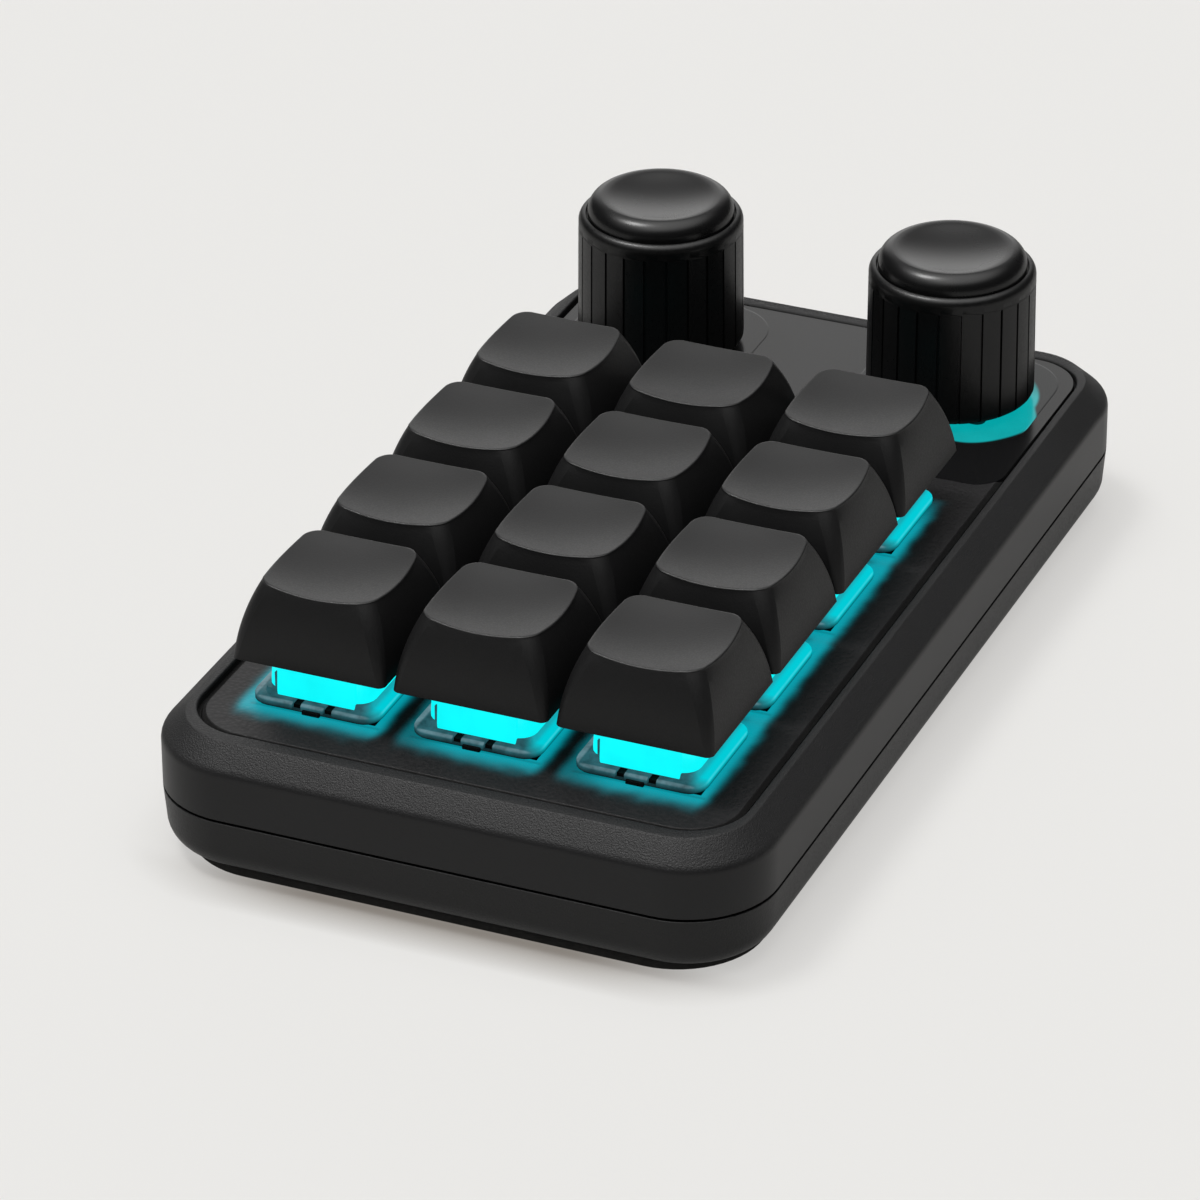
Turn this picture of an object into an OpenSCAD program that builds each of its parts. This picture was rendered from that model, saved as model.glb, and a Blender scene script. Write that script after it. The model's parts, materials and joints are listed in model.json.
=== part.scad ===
// Macro keypad: twelve sprung keys and two knobs that turn and press, in a two-part moulded case.
// Origin under the middle of the base, +X to the right, +Y towards the knobs, +Z up.

/* [Key field] */
// Distance between the middles of neighbouring keys
key_pitch = 19.05; // [18.6:0.05:22]
// Key travel, from rest to fully pressed
key_travel = 4; // [2.5:0.1:4]
// Case in front of the key field
front_border = 9.975; // [9:0.1:16]
// Case at each side of the key field
side_border = 7.175; // [7.1:0.025:14]
// Space between the key field and the knob panel
key_to_panel = 2.625; // [2.2:0.1:8]

/* [Case] */
// Depth from the front edge of the knob panel to the back of the case
knob_zone_d = 36.7; // [34:0.1:48]
// Radius of the case's corners, seen from above
case_r = 10.4; // [9.2:0.1:11]
// Height of the rim above the table
rim_z = 16.5; // [16.2:0.1:22]
// Height of the seam between the bottom shell and the top frame
seam_z = 8; // [7:0.1:8.4]
// Width of the line between the two case parts
seam_gap = 0.2; // [0.1:0.05:0.4]
// Wall of the case
wall_t = 2.2; // [1.9:0.1:2.6]
// Width of the sloping edge round the top
chamfer_w = 2.75; // [1.6:0.05:3]
// Height of the sloping edge round the top
chamfer_h = 2.5; // [1:0.1:3]
// Radius of the bottom shell's lower edge
belly_r = 3; // [1:0.1:3.2]
// Distance that the bottom shell's sides lean in below the seam
shell_lean = 0.3; // [0:0.05:0.5]
// Thickness of the rubber pad under the case
pad_t = 1.4; // [1:0.1:3]
// Distance of the pad's edge from the case's side
pad_inset = 2.6; // [2.5:0.1:8]
// Corner radius of the pad
pad_r = 11; // [8:0.5:14]

/* [Plate and panel] */
// Distance of the plate's edge from the case's side
plate_inset = 4.2; // [4:0.1:5.2]
// Extra width of the rim along the front
front_rim_extra = 0.8; // [0:0.1:2]
// Width of the groove round the plate
groove_w = 0.5; // [0.2:0.05:0.6]
// Depth of the plate's face below the rim
plate_drop = 0.4; // [0:0.05:0.8]
// Thickness of the key plate
plate_t = 1.5; // [1.3:0.05:1.6]
// Thickness of the glossy knob panel
panel_t = 0.8; // [0.5:0.05:1]
// Corner radius of the knob panel
panel_r = 3.5; // [1:0.1:5]

/* [Keycaps] */
// Space between the lower edges of neighbouring keycaps
cap_gap = 0.95; // [0.8:0.05:2]
// Distance that each side of a keycap leans in
cap_lean = 2.35; // [1.6:0.05:3]
// Height of a keycap
cap_h = 8.9; // [8:0.1:14]
// Wall of a keycap
cap_wall = 1.3; // [0.9:0.05:1.5]
// Radius of the dish in a keycap's face
cap_dish_r = 36; // [25:1:80]

/* [Switches] */
// Distance from the plate's face down to the circuit board
switch_depth = 5; // [4.8:0.1:5.6]
// Height of a switch above the plate
switch_h = 6.6; // [6.4:0.1:7.4]
// Width of a switch's flange
flange_w = 15.6; // [15:0.1:16.4]
// Turns of a key spring
spring_turns = 5; // [3:1:6]
// Wire thickness of a key spring
spring_wire = 0.34; // [0.2:0.02:0.5]

/* [Knobs] */
// Distance between the two knobs
knob_spacing = 37; // [33:0.5:38]
// Distance from the knobs' middles to the back of the case
knob_to_back = 16.35; // [16:0.05:17.5]
// Radius of a knob's ribbed barrel
knob_r = 10; // [9.8:0.1:11]
// Height of a knob's ribbed barrel, shoulder included
barrel_h = 16.3; // [14:0.1:22]
// Height of a knob's dished cap above the barrel
knob_cap_h = 2.2; // [1.4:0.1:4]
// Grooves round a knob
groove_count = 24; // [12:1:36]
// Width and depth of a knob's grooves
groove_cut = 0.3; // [0.2:0.05:0.8]
// Distance that a knob presses down
knob_travel = 0.5; // [0.3:0.05:0.5]
// Half width of the light frame under a knob
light_half = 10.9; // [10.6:0.1:11.1]

/* [Hidden] */
$fn = 48;
key_cols = 3;
key_rows = 4;
eps = 0.01;            // overlap of a cut past the face that it opens
fit = 0.1;             // clearance between pieces that are set into each other
slide_fit = 0.05;      // radial clearance of a shaft in its bore

// Plan of the case
case_w = key_cols * key_pitch + 2 * side_border;
field_d = key_rows * key_pitch;
case_d = front_border + field_d + key_to_panel + knob_zone_d;
front_y = -case_d / 2;
back_y = case_d / 2;
field_back_y = front_y + front_border + field_d;
panel_y = field_back_y + key_to_panel;
plate_x = case_w / 2 - plate_inset;
plate_front_y = front_y + plate_inset + front_rim_extra;
plate_back_y = back_y - plate_inset;
plate_r = case_r - plate_inset;
knob_y = back_y - knob_to_back;
function key_x(i) = (i - (key_cols - 1) / 2) * key_pitch;
function key_y(j) = front_y + front_border + (j + 0.5) * key_pitch;
key_places = [for (j = [0:key_rows - 1]) for (i = [0:key_cols - 1]) [key_x(i), key_y(j)]];
knob_places = [[-knob_spacing / 2, knob_y], [knob_spacing / 2, knob_y]];

// Heights of the case and what it holds
pad_recess = 0.3;
shell_z = pad_t - pad_recess;
floor_t = 2;
floor_z = pad_t + floor_t;
lip_h = 1.1;
lip_t = 0.9;
plate_z = rim_z - plate_drop;
plate_under_z = plate_z - plate_t;
ledge_w = 1.2;
ledge_t = 1.2;
ledge_z = plate_under_z - ledge_t;
groove_depth = 1;
back_groove_w = 0.15;
plate_bevel = 0.45;
panel_bevel = 0.2;
pocket_z = plate_z - panel_t;
board_t = 1.6;
board_z = plate_z - switch_depth;
board_under_z = board_z - board_t;
board_gap = 0.8;
board_inset = wall_t + board_gap;

// Screws and the bosses that they join
screw_r = 1;
screw_head_r = 1.9;
screw_head_h = 1.2;
screw_inset = 7.2;
screw_seat_z = floor_z + 0.8;
screw_top_z = ledge_z - 1.2;
frame_boss_r = 2.6;
shell_boss_r = 3.2;
post_r = 2;
screw_ys = [front_y + screw_inset, field_back_y + key_to_panel / 2, back_y - screw_inset];
screw_places = [for (y = screw_ys) for (side = [-1, 1]) [side * (case_w / 2 - screw_inset), y]];
post_places = concat(
    [for (j = [0:key_rows - 2]) for (i = [0:key_cols - 2]) [key_x(i + 0.5), key_y(j + 0.5)]],
    [[0, knob_y]]
);

// Switch
hole_w = 14;
body_w = hole_w - fit;
flange_t = 1;
flange_r = 1.6;
base_floor_t = 1.2;
base_cavity_w = 11;
spring_floor_z = board_z + base_floor_t;
guide_r = 0.9;
guide_h = 3.2;
centre_post_r = 1.95;
centre_post_drop = 1.5;
cover_z = plate_z + flange_t;
cover_top_z = plate_z + switch_h;
cover_base_w = 12.6;
cover_top_x = 12.4;
cover_top_y = 11.6;
cover_t = 1;
cover_r = 2;
stem_hole_x = 7.2;
stem_hole_y = 6.2;
stem_x = 6.8;
stem_y = 5.2;
shoulder_x = 8.6;
shoulder_y = 7.2;
shoulder_z = cover_top_z - cover_t - fit;
stem_floor_gap = 0.7;
stem_z = spring_floor_z + key_travel + stem_floor_gap;
spring_r = 1.8;
spring_bore_r = 2.3;
spring_seat_t = 1.2;
spring_top_z = shoulder_z - spring_seat_t;
cross_h = 3.6;
cross_l = 4;
cross_t = 1.2;
lamp_w = 3.2;
lamp_d = 2.4;
lamp_h = 1;
lamp_offset = 5.4;
socket_h = 1.8;
tab_w = 2.6;
notch_w = 1.1;
notch_d = 1.3;
latch_w = 2.1;
latch_d = 0.5;
latch_h = 0.5;

// Keycap
cap_base_w = key_pitch - cap_gap;
cap_face_w = cap_base_w - 2 * cap_lean;
cap_overlap = 0.6;     // height by which a keycap hides the top of its switch
cap_z = cover_top_z - cap_overlap;
cap_face_shift = -0.35;
cap_base_r = 1.2;
cap_face_r = 3.4;
cap_edge_r = 0.5;
cap_bulge = 1.6;
cap_roof_gap = 1.9;     // height above the pressed stem's cross
cap_roof_z = cover_top_z + key_travel + cap_roof_gap;
cap_post_r = 2.75;
cap_post_z = cover_top_z + slide_fit;
roof_inset = 0.4;
cap_corner_steps = 5;
cap_side_steps = 6;
cap_dish_steps = 3;

// Encoder under a knob
encoder_x = 12;
encoder_y = 11.7;
encoder_h = 6.5;
encoder_top_z = board_z + encoder_h;
encoder_wall = 1.2;
rotor_r = 4.6;
rotor_gap = 0.3;
rotor_z = board_z + encoder_wall + rotor_gap;
rotor_top_z = encoder_top_z - encoder_wall - rotor_gap;
bushing_r = 3.5;
bushing_h = 5;
bushing_top_z = encoder_top_z + bushing_h;
shaft_r = 3;
shaft_flat = 2.3;
shaft_gap = 0.2;       // least space over and under the shaft's steps
shaft_z = board_z + encoder_wall + knob_travel + shaft_gap;
shaft_neck_z = rotor_top_z + knob_travel + shaft_gap;
light_r = 7.5;
light_proud = 0.2;
light_top_z = plate_z + light_proud;
plate_knob_hole_r = 9.3;
ring_lamp_offset = 8.2;

// Knob
knob_z = light_top_z + knob_travel + fit;
barrel_top_z = knob_z + barrel_h;
knob_wall = 1.4;
knob_roof_t = 3.4;
knob_shoulder_r = 1;
hub_r = 4.6;
hub_gap = 0.3;
hub_z = bushing_top_z + knob_travel + hub_gap;
hub_socket_h = 0.5;
hub_step_z = hub_z + hub_socket_h;
shaft_top_z = barrel_top_z - 2;
knob_grip = 0.02;      // radial clearance of the shaft in the knob
knob_foot_r = 0.8;
knob_seat_depth = 1;
knob_seat_r = knob_r - 1.1;
knob_cap_gap = 0.2;
knob_cap_r = knob_seat_r - knob_cap_gap;
knob_cap_edge_r = 2;
knob_dish_depth = 0.9;
groove_top_gap = 0.9;
groove_phase = 11;

// USB socket
usb_w = 8.94;
usb_h = 3.2;
usb_d = 7.3;
usb_wall = 0.3;
usb_setback = 0.6;
usb_z = board_under_z + board_t / 2 + 0.6;
usb_gap = 0.25;
chip_w = 7;
chip_h = 0.9;

// ---- Shared shapes ----

// Rectangle with round corners between two opposite corner points
module rounded_rect(x0, y0, x1, y1, r) {
    translate([x0 + r, y0]) square([x1 - x0 - 2 * r, y1 - y0]);
    translate([x0, y0 + r]) square([x1 - x0, y1 - y0 - 2 * r]);
    for (x = [x0 + r, x1 - r], y = [y0 + r, y1 - r]) translate([x, y]) circle(r);
}

// Upright slab with round corners, centred in plan
module slab(w, d, r, z0, z1) {
    translate([0, 0, z0]) linear_extrude(z1 - z0) rounded_rect(-w / 2, -d / 2, w / 2, d / 2, r);
}

// Upright slab that follows the case's outline at an inset from its sides
module case_slab(inset, z0, z1) {
    slab(case_w - 2 * inset, case_d - 2 * inset, case_r - inset, z0, z1);
}

// Block with round corners and a shaped edge. The edge is a list of [inset, height] from the
// bottom up.
module edged_block(x0, y0, x1, y1, r, edge) {
    bottom = edge[0][1];
    top = edge[len(edge) - 1][1];
    last = len(edge) - 1;
    // Straight stretches, as a cross-section from side to side
    module bar(span, length) {
        rotate([90, 0, 0]) linear_extrude(length, center = true) polygon(concat(
            [for (p = edge) [span / 2 - p[0], p[1]]],
            [for (i = [last:-1:0]) [edge[i][0] - span / 2, edge[i][1]]]
        ));
    }
    translate([(x0 + x1) / 2, (y0 + y1) / 2, 0]) {
        bar(x1 - x0, y1 - y0 - 2 * r);
        rotate([0, 0, 90]) bar(y1 - y0, x1 - x0 - 2 * r);
    }
    // Corners
    corners = [[x1 - r, y1 - r], [x0 + r, y1 - r], [x0 + r, y0 + r], [x1 - r, y0 + r]];
    for (i = [0:3]) translate(corners[i]) rotate([0, 0, 90 * i]) rotate_extrude(angle = 90)
        polygon(concat([[0, bottom]], [for (p = edge) [r - p[0], p[1]]], [[0, top]]));
}

// Points of an arc about [x, z]
function arc(x, z, r, from, to, steps) =
    [for (i = [0:steps]) let (a = from + (to - from) * i / steps) [x + r * cos(a), z + r * sin(a)]];

// Frustum with a rectangular plan, as the meeting of two tapered bars
module tapered_box(x0, y0, z0, x1, y1, z1) {
    intersection() {
        rotate([90, 0, 0]) linear_extrude(max(y0, y1) + 2, center = true)
            polygon([[-x0 / 2, z0], [x0 / 2, z0], [x1 / 2, z1], [-x1 / 2, z1]]);
        rotate([90, 0, 90]) linear_extrude(max(x0, x1) + 2, center = true)
            polygon([[-y0 / 2, z0], [y0 / 2, z0], [y1 / 2, z1], [-y1 / 2, z1]]);
    }
}

// Box centred in plan, between two heights
module post_box(x, y, z0, z1) {
    translate([-x / 2, -y / 2, z0]) cube([x, y, z1 - z0]);
}

// Rod between two heights
module rod(r, z0, z1) {
    translate([0, 0, z0]) cylinder(r = r, h = z1 - z0);
}

// Rod with a flat on each side
module flat_rod(r, flat, z0, z1) {
    intersection() {
        rod(r, z0, z1);
        post_box(2 * flat, 2 * r + 1, z0, z1);
    }
}

// ---- Case ----

module usb_opening() {
    translate([0, back_y, usb_z]) rotate([90, 0, 0]) linear_extrude(4 * wall_t, center = true)
        rounded_rect(
            -usb_w / 2 - usb_gap, -usb_h / 2 - usb_gap, usb_w / 2 + usb_gap, usb_h / 2 + usb_gap,
            usb_h / 2
        );
}

// Outline of the pad, with a gap round it
module pad_slab(gap) {
    inset = pad_inset - gap;
    slab(case_w - 2 * inset, case_d - 2 * inset, pad_r + gap, 0, pad_t);
}

module base_pad() {
    color([0.05, 0.05, 0.055]) pad_slab(0);
}

module bottom_shell() {
    edge = concat(
        arc(shell_lean + belly_r, shell_z + belly_r, belly_r, 270, 180, 9),
        [[0, seam_z - seam_gap / 2]]
    );
    color([0.09, 0.09, 0.095]) difference() {
        union() {
            difference() {
                edged_block(-case_w / 2, front_y, case_w / 2, back_y, case_r, edge);
                case_slab(wall_t, floor_z, rim_z);
            }
            // Lip that finds the top frame
            difference() {
                case_slab(wall_t - lip_t, seam_z - 1, seam_z + lip_h);
                case_slab(wall_t, floor_z, rim_z);
            }
            for (p = post_places) translate(p) rod(post_r, floor_z - eps, board_under_z);
            for (p = screw_places) translate(p) rod(shell_boss_r, floor_z - eps, seam_z);
        }
        pad_slab(fit);
        for (p = screw_places) translate(p) {
            rod(screw_r + fit, 0, rim_z);
            rod(screw_head_r + fit, 0, screw_seat_z);
        }
        usb_opening();
    }
}

module top_frame() {
    turn_z = rim_z - chamfer_h;
    slope = atan2(chamfer_h, chamfer_w);
    soft_r = 1.6;
    soft_back = soft_r * tan((90 - slope) / 2);
    rim_edge = 0.15;
    edge = concat(
        [[0, seam_z + seam_gap / 2]],
        arc(soft_r, turn_z - soft_back, soft_r, 180, 90 + slope, 5),
        [[chamfer_w - rim_edge, rim_z - rim_edge * tan(slope)], [chamfer_w + rim_edge, rim_z]]
    );
    color([0.11, 0.11, 0.115]) difference() {
        union() {
            difference() {
                edged_block(-case_w / 2, front_y, case_w / 2, back_y, case_r, edge);
                case_slab(wall_t, 0, ledge_z);
                case_slab(wall_t - lip_t - fit, 0, seam_z + lip_h + fit);
            }
            for (p = screw_places) translate(p) rod(frame_boss_r, seam_z, ledge_z + eps);
        }
        // Opening inside the ledge that carries the plate
        translate([0, 0, ledge_z - eps]) linear_extrude(rim_z) rounded_rect(
            -plate_x + ledge_w, plate_front_y + ledge_w, plate_x - ledge_w, plate_back_y - ledge_w,
            plate_r - ledge_w
        );
        // Seat of the plate
        translate([0, 0, plate_under_z]) linear_extrude(rim_z) rounded_rect(
            -plate_x - fit, plate_front_y - fit, plate_x + fit, plate_back_y + fit, plate_r + fit
        );
        // Groove round the plate
        translate([0, 0, rim_z - groove_depth]) linear_extrude(rim_z) rounded_rect(
            -plate_x - groove_w, plate_front_y - groove_w,
            plate_x + groove_w, plate_back_y + back_groove_w, plate_r + groove_w
        );
        for (p = screw_places) translate(p) rod(screw_r + slide_fit, 0, screw_top_z + fit);
        usb_opening();
    }
}

module case_screws() {
    drive_r = 0.9;
    drive_h = 0.7;
    color([0.6, 0.6, 0.62]) for (p = screw_places) translate(p) difference() {
        union() {
            rod(screw_head_r, screw_seat_z - screw_head_h, screw_seat_z);
            rod(screw_r, screw_seat_z - eps, screw_top_z);
        }
        translate([0, 0, screw_seat_z - screw_head_h - eps]) cylinder(r = drive_r, h = drive_h, $fn = 6);
    }
}

// ---- Plate and panel ----

// Outline of the knob panel: round front corners, and the plate's own back corners
module panel_outline(gap) {
    intersection() {
        rounded_rect(-plate_x - gap, panel_y - gap, plate_x + gap, back_y, panel_r + gap);
        rounded_rect(
            -plate_x - gap, plate_front_y, plate_x + gap, plate_back_y + gap, plate_r + gap
        );
    }
}

module key_plate() {
    edge = [[0, plate_under_z], [0, plate_z - plate_bevel], [plate_bevel, plate_z]];
    color([0.13, 0.13, 0.135]) difference() {
        edged_block(-plate_x, plate_front_y, plate_x, plate_back_y, plate_r, edge);
        for (p = key_places) translate(p) post_box(hole_w, hole_w, plate_under_z - 1, plate_z + 1);
        translate([0, 0, pocket_z]) linear_extrude(panel_t + 1) panel_outline(slide_fit);
        for (p = knob_places) translate(p) rod(plate_knob_hole_r, plate_under_z - 1, plate_z);
    }
}

module knob_panel() {
    hole = 2 * (light_half + slide_fit);
    color([0.04, 0.04, 0.045]) difference() {
        translate([0, 0, pocket_z]) linear_extrude(panel_t) panel_outline(0);
        for (p = knob_places) translate(p)
            slab(hole, hole, light_r + slide_fit, pocket_z - 1, plate_z + 1);
    }
}

// ---- Circuit board and what sits on it ----

module circuit_board() {
    color([0.06, 0.2, 0.12]) difference() {
        case_slab(board_inset, board_under_z, board_z);
        for (p = key_places) translate(p) rod(centre_post_r + fit, board_under_z - 1, board_z + 1);
        for (p = screw_places) translate(p) rod(frame_boss_r + 2 * fit, board_under_z - 1, board_z + 1);
        translate([0, back_y - usb_setback - usb_d / 2, 0])
            post_box(usb_w + 2 * usb_gap, usb_d + 2 * usb_gap, board_under_z - 1, board_z + 1);
    }
}

module controller_chip() {
    color([0.12, 0.12, 0.12]) translate([0, panel_y + chip_w / 2, 0])
        post_box(chip_w, chip_w, board_under_z - chip_h, board_under_z);
}

module usb_socket() {
    tongue_w = 6.2;
    tongue_h = 0.7;
    color([0.75, 0.75, 0.77]) translate([0, back_y - usb_setback, usb_z]) rotate([90, 0, 0]) {
        difference() {
            linear_extrude(usb_d)
                rounded_rect(-usb_w / 2, -usb_h / 2, usb_w / 2, usb_h / 2, usb_h / 2 - eps);
            translate([0, 0, -1]) linear_extrude(usb_d) rounded_rect(
                -usb_w / 2 + usb_wall, -usb_h / 2 + usb_wall,
                usb_w / 2 - usb_wall, usb_h / 2 - usb_wall, usb_h / 2 - usb_wall - eps
            );
        }
        translate([-tongue_w / 2, -tongue_h / 2, 1]) cube([tongue_w, tongue_h, usb_d - 1.5]);
    }
}

module key_lights() {
    color([0.9, 0.95, 0.95]) {
        for (p = key_places) translate([p[0], p[1] - lamp_offset, 0])
            post_box(lamp_w, lamp_d, board_z, board_z + lamp_h);
        for (p = knob_places) translate(p) for (a = [0:90:270])
            rotate([0, 0, a]) translate([ring_lamp_offset, 0, 0])
                post_box(lamp_d, lamp_w, board_z, board_z + lamp_h);
    }
}

module switch_sockets() {
    body_x = 9.5;
    body_y = 4.2;
    tag_x = 1.8;
    tag_y = 1.7;
    centre = [-0.6, 4.6];
    color([0.15, 0.15, 0.15]) for (p = key_places) translate(p + centre) {
        post_box(body_x, body_y, board_under_z - socket_h, board_under_z);
        post_box(body_x + 2 * tag_x, tag_y, board_under_z - socket_h / 2, board_under_z);
    }
}

// ---- Switches ----

module switch_base() {
    difference() {
        union() {
            slab(flange_w, flange_w, flange_r, plate_z, cover_z);
            post_box(body_w, body_w, board_z, plate_z);
            rod(centre_post_r, board_under_z - centre_post_drop, board_z);
        }
        post_box(base_cavity_w, base_cavity_w, spring_floor_z, cover_z + 1);
        // Window over the lamp
        translate([0, -lamp_offset, 0])
            post_box(lamp_w + 4 * fit, lamp_d + 4 * fit, board_z - 1, spring_floor_z + eps);
        // Notches at each side of the front tab
        for (side = [-1, 1]) translate([side * (tab_w + notch_w) / 2, -flange_w / 2, 0])
            post_box(notch_w, 2 * notch_d, plate_z - 1, cover_z + 1);
    }
    // Latch at the foot of the tab
    translate([0, -flange_w / 2, 0]) post_box(latch_w, 2 * latch_d, plate_z, plate_z + latch_h);
    rod(guide_r, spring_floor_z - eps, spring_floor_z + guide_h);
}

module switch_bases() {
    color([0.75, 0.78, 0.8]) for (p = key_places) translate(p) switch_base();
}

// Tapered form of the cover with round corners, at an inset from its outside
module cover_form(inset, z0, z1) {
    base_w = cover_base_w - 2 * inset;
    intersection() {
        tapered_box(base_w, base_w, z0, cover_top_x - 2 * inset, cover_top_y - 2 * inset, z1);
        slab(base_w, base_w, cover_r - inset, z0 - 1, z1 + 1);
    }
}

module switch_cover() {
    difference() {
        cover_form(0, cover_z, cover_top_z);
        cover_form(cover_t, cover_z - eps, cover_top_z - cover_t);
        post_box(stem_hole_x, stem_hole_y, cover_z, cover_top_z + 1);
    }
}

module switch_covers() {
    color([0.1, 0.9, 0.95]) for (p = key_places) translate(p) switch_cover();
}

module key_stem(k) {
    color([0.85, 0.3, 0.25]) translate(key_places[k - 1]) {
        difference() {
            union() {
                post_box(shoulder_x, shoulder_y, stem_z, shoulder_z);
                post_box(stem_x, stem_y, shoulder_z - eps, cover_top_z);
            }
            rod(spring_bore_r, stem_z - 1, spring_top_z);
        }
        post_box(cross_l, cross_t, cover_top_z - eps, cover_top_z + cross_h);
        post_box(cross_t, cross_l, cover_top_z - eps, cover_top_z + cross_h);
    }
}

// Coil spring as a four-sided wire swept along a helix
module key_spring(k) {
    steps_per_turn = 10;
    steps = spring_turns * steps_per_turn;
    z0 = spring_floor_z + spring_wire / 2;
    rise = spring_top_z - spring_floor_z - spring_wire;
    half = spring_wire / 2;
    section = [[-half, 0], [0, -half], [half, 0], [0, half]];
    points = [for (i = [0:steps]) for (s = section)
        let (a = 360 * i / steps_per_turn, r = spring_r + s[0], z = z0 + rise * i / steps + s[1])
        [r * cos(a), r * sin(a), z]];
    sides = [for (i = [0:steps - 1]) for (j = [0:3]) let (n = (j + 1) % 4)
        [4 * i + j, 4 * i + 4 + j, 4 * i + 4 + n, 4 * i + n]];
    color([0.8, 0.8, 0.82]) translate(key_places[k - 1])
        polyhedron(points, concat([[0, 1, 2, 3]], sides, [[for (j = [3:-1:0]) 4 * steps + j]]));
}

// ---- Keycaps ----

// Outline of a keycap at one level: a square with round corners
function cap_ring(half, r) = [for (q = [0:3]) for (i = [0:cap_corner_steps])
    let (a = 90 * q + 90 * i / cap_corner_steps, c = half - r,
        sx = (q == 0 || q == 3) ? 1 : -1, sy = q < 2 ? 1 : -1)
    [sx * c + r * cos(a), sy * c + r * sin(a)]];

// Height of the dished face above the middle of its dish
function dish(p) = (p[0] * p[0] + p[1] * p[1]) / (2 * cap_dish_r);

// Lofted body of a keycap: convex sides that end in a spherical dish
module cap_form(base_half, face_half, base_r, face_r, z0, top_z, edge_r) {
    corner = face_half - face_r + face_r / sqrt(2);
    middle_z = top_z - dish([corner, corner]);
    // The round edge as shares of its radius: how far each of its rings lies out and up
    edge_flare = 0.35;
    edge_steps = [[0.12, 0.62], [-0.35, 0.95]];
    face_inset = 0.6;
    side_levels = [for (i = [0:cap_side_steps]) i / cap_side_steps];
    sides = [for (s = side_levels) let (
            half = base_half - (base_half - face_half - edge_flare * edge_r) * pow(s, cap_bulge),
            ring = cap_ring(half, base_r + (face_r - base_r) * s)
        ) [for (p = ring) let (edge_z = middle_z + dish(p) - edge_r)
            [p[0], p[1] + cap_face_shift * s, z0 + (edge_z - z0) * s]]];
    lip = [for (t = edge_steps) let (ring = cap_ring(face_half + t[0] * edge_r, face_r))
        [for (p = ring) [p[0], p[1] + cap_face_shift, middle_z + dish(p) - edge_r * (1 - t[1])]]];
    face = [for (i = [1:cap_dish_steps]) let (share = 1 - i / (cap_dish_steps + 1))
        [for (p = cap_ring(face_half - face_inset * edge_r, face_r)) let (q = p * share)
            [q[0], q[1] + cap_face_shift, middle_z + dish(q)]]];
    rings = concat(sides, lip, face);
    n = 4 * (cap_corner_steps + 1);
    rows = len(rings);
    points = concat([for (ring = rings) for (p = ring) p], [[0, cap_face_shift, middle_z]]);
    walls = [for (i = [0:rows - 2]) for (j = [0:n - 1]) let (m = (j + 1) % n)
        each [[i * n + j, (i + 1) * n + j, (i + 1) * n + m], [i * n + j, (i + 1) * n + m, i * n + m]]];
    top = [for (j = [0:n - 1]) [(rows - 1) * n + j, rows * n, (rows - 1) * n + (j + 1) % n]];
    polyhedron(points, concat([[for (j = [0:n - 1]) j]], walls, top));
}

module keycap(k) {
    roof_half = cap_face_w / 2 - roof_inset;
    slot_gap = 2 * slide_fit;
    color([0.2, 0.2, 0.21]) translate(key_places[k - 1]) {
        difference() {
            cap_form(
                cap_base_w / 2, cap_face_w / 2, cap_base_r, cap_face_r, cap_z, cap_z + cap_h, cap_edge_r
            );
            tapered_box(
                cap_base_w - 2 * cap_wall, cap_base_w - 2 * cap_wall, cap_z - eps,
                2 * roof_half, 2 * roof_half, cap_roof_z
            );
        }
        // Post that grips the stem's cross
        difference() {
            rod(cap_post_r, cap_post_z, cap_roof_z + eps);
            post_box(cross_l + slot_gap, cross_t + slot_gap, cap_post_z - 1, cover_top_z + cross_h + fit);
            post_box(cross_t + slot_gap, cross_l + slot_gap, cap_post_z - 1, cover_top_z + cross_h + fit);
        }
    }
}

// ---- Knobs ----

module encoder_body() {
    difference() {
        union() {
            post_box(encoder_x, encoder_y, board_z, encoder_top_z);
            rod(bushing_r, encoder_top_z - eps, bushing_top_z);
        }
        rod(rotor_r + slide_fit, board_z + encoder_wall, encoder_top_z - encoder_wall);
        rod(shaft_r + slide_fit, board_z + encoder_wall, bushing_top_z + 1);
    }
}

module encoder_bodies() {
    color([0.7, 0.7, 0.72]) for (p = knob_places) translate(p) encoder_body();
}

module encoder_rotor(side) {
    color([0.8, 0.75, 0.6]) translate(knob_places[side]) difference() {
        rod(rotor_r, rotor_z, rotor_top_z);
        flat_rod(shaft_r + slide_fit, shaft_flat + slide_fit, rotor_z - 1, rotor_top_z + 1);
    }
}

module knob_shaft(side) {
    color([0.75, 0.75, 0.77]) translate(knob_places[side]) {
        flat_rod(shaft_r, shaft_flat, shaft_z, shaft_neck_z);
        rod(shaft_r, shaft_neck_z - eps, hub_step_z);
        flat_rod(shaft_r, shaft_flat, hub_step_z - eps, shaft_top_z);
    }
}

module knob_light(side) {
    hole = encoder_x + 4 * fit;
    color(side == 1 ? [0.1, 0.9, 0.95] : [0.6, 0.65, 0.65]) translate(knob_places[side]) difference() {
        slab(2 * light_half, 2 * light_half, light_r, pocket_z, light_top_z);
        post_box(hole, hole, pocket_z - 1, light_top_z + 1);
    }
}

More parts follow.
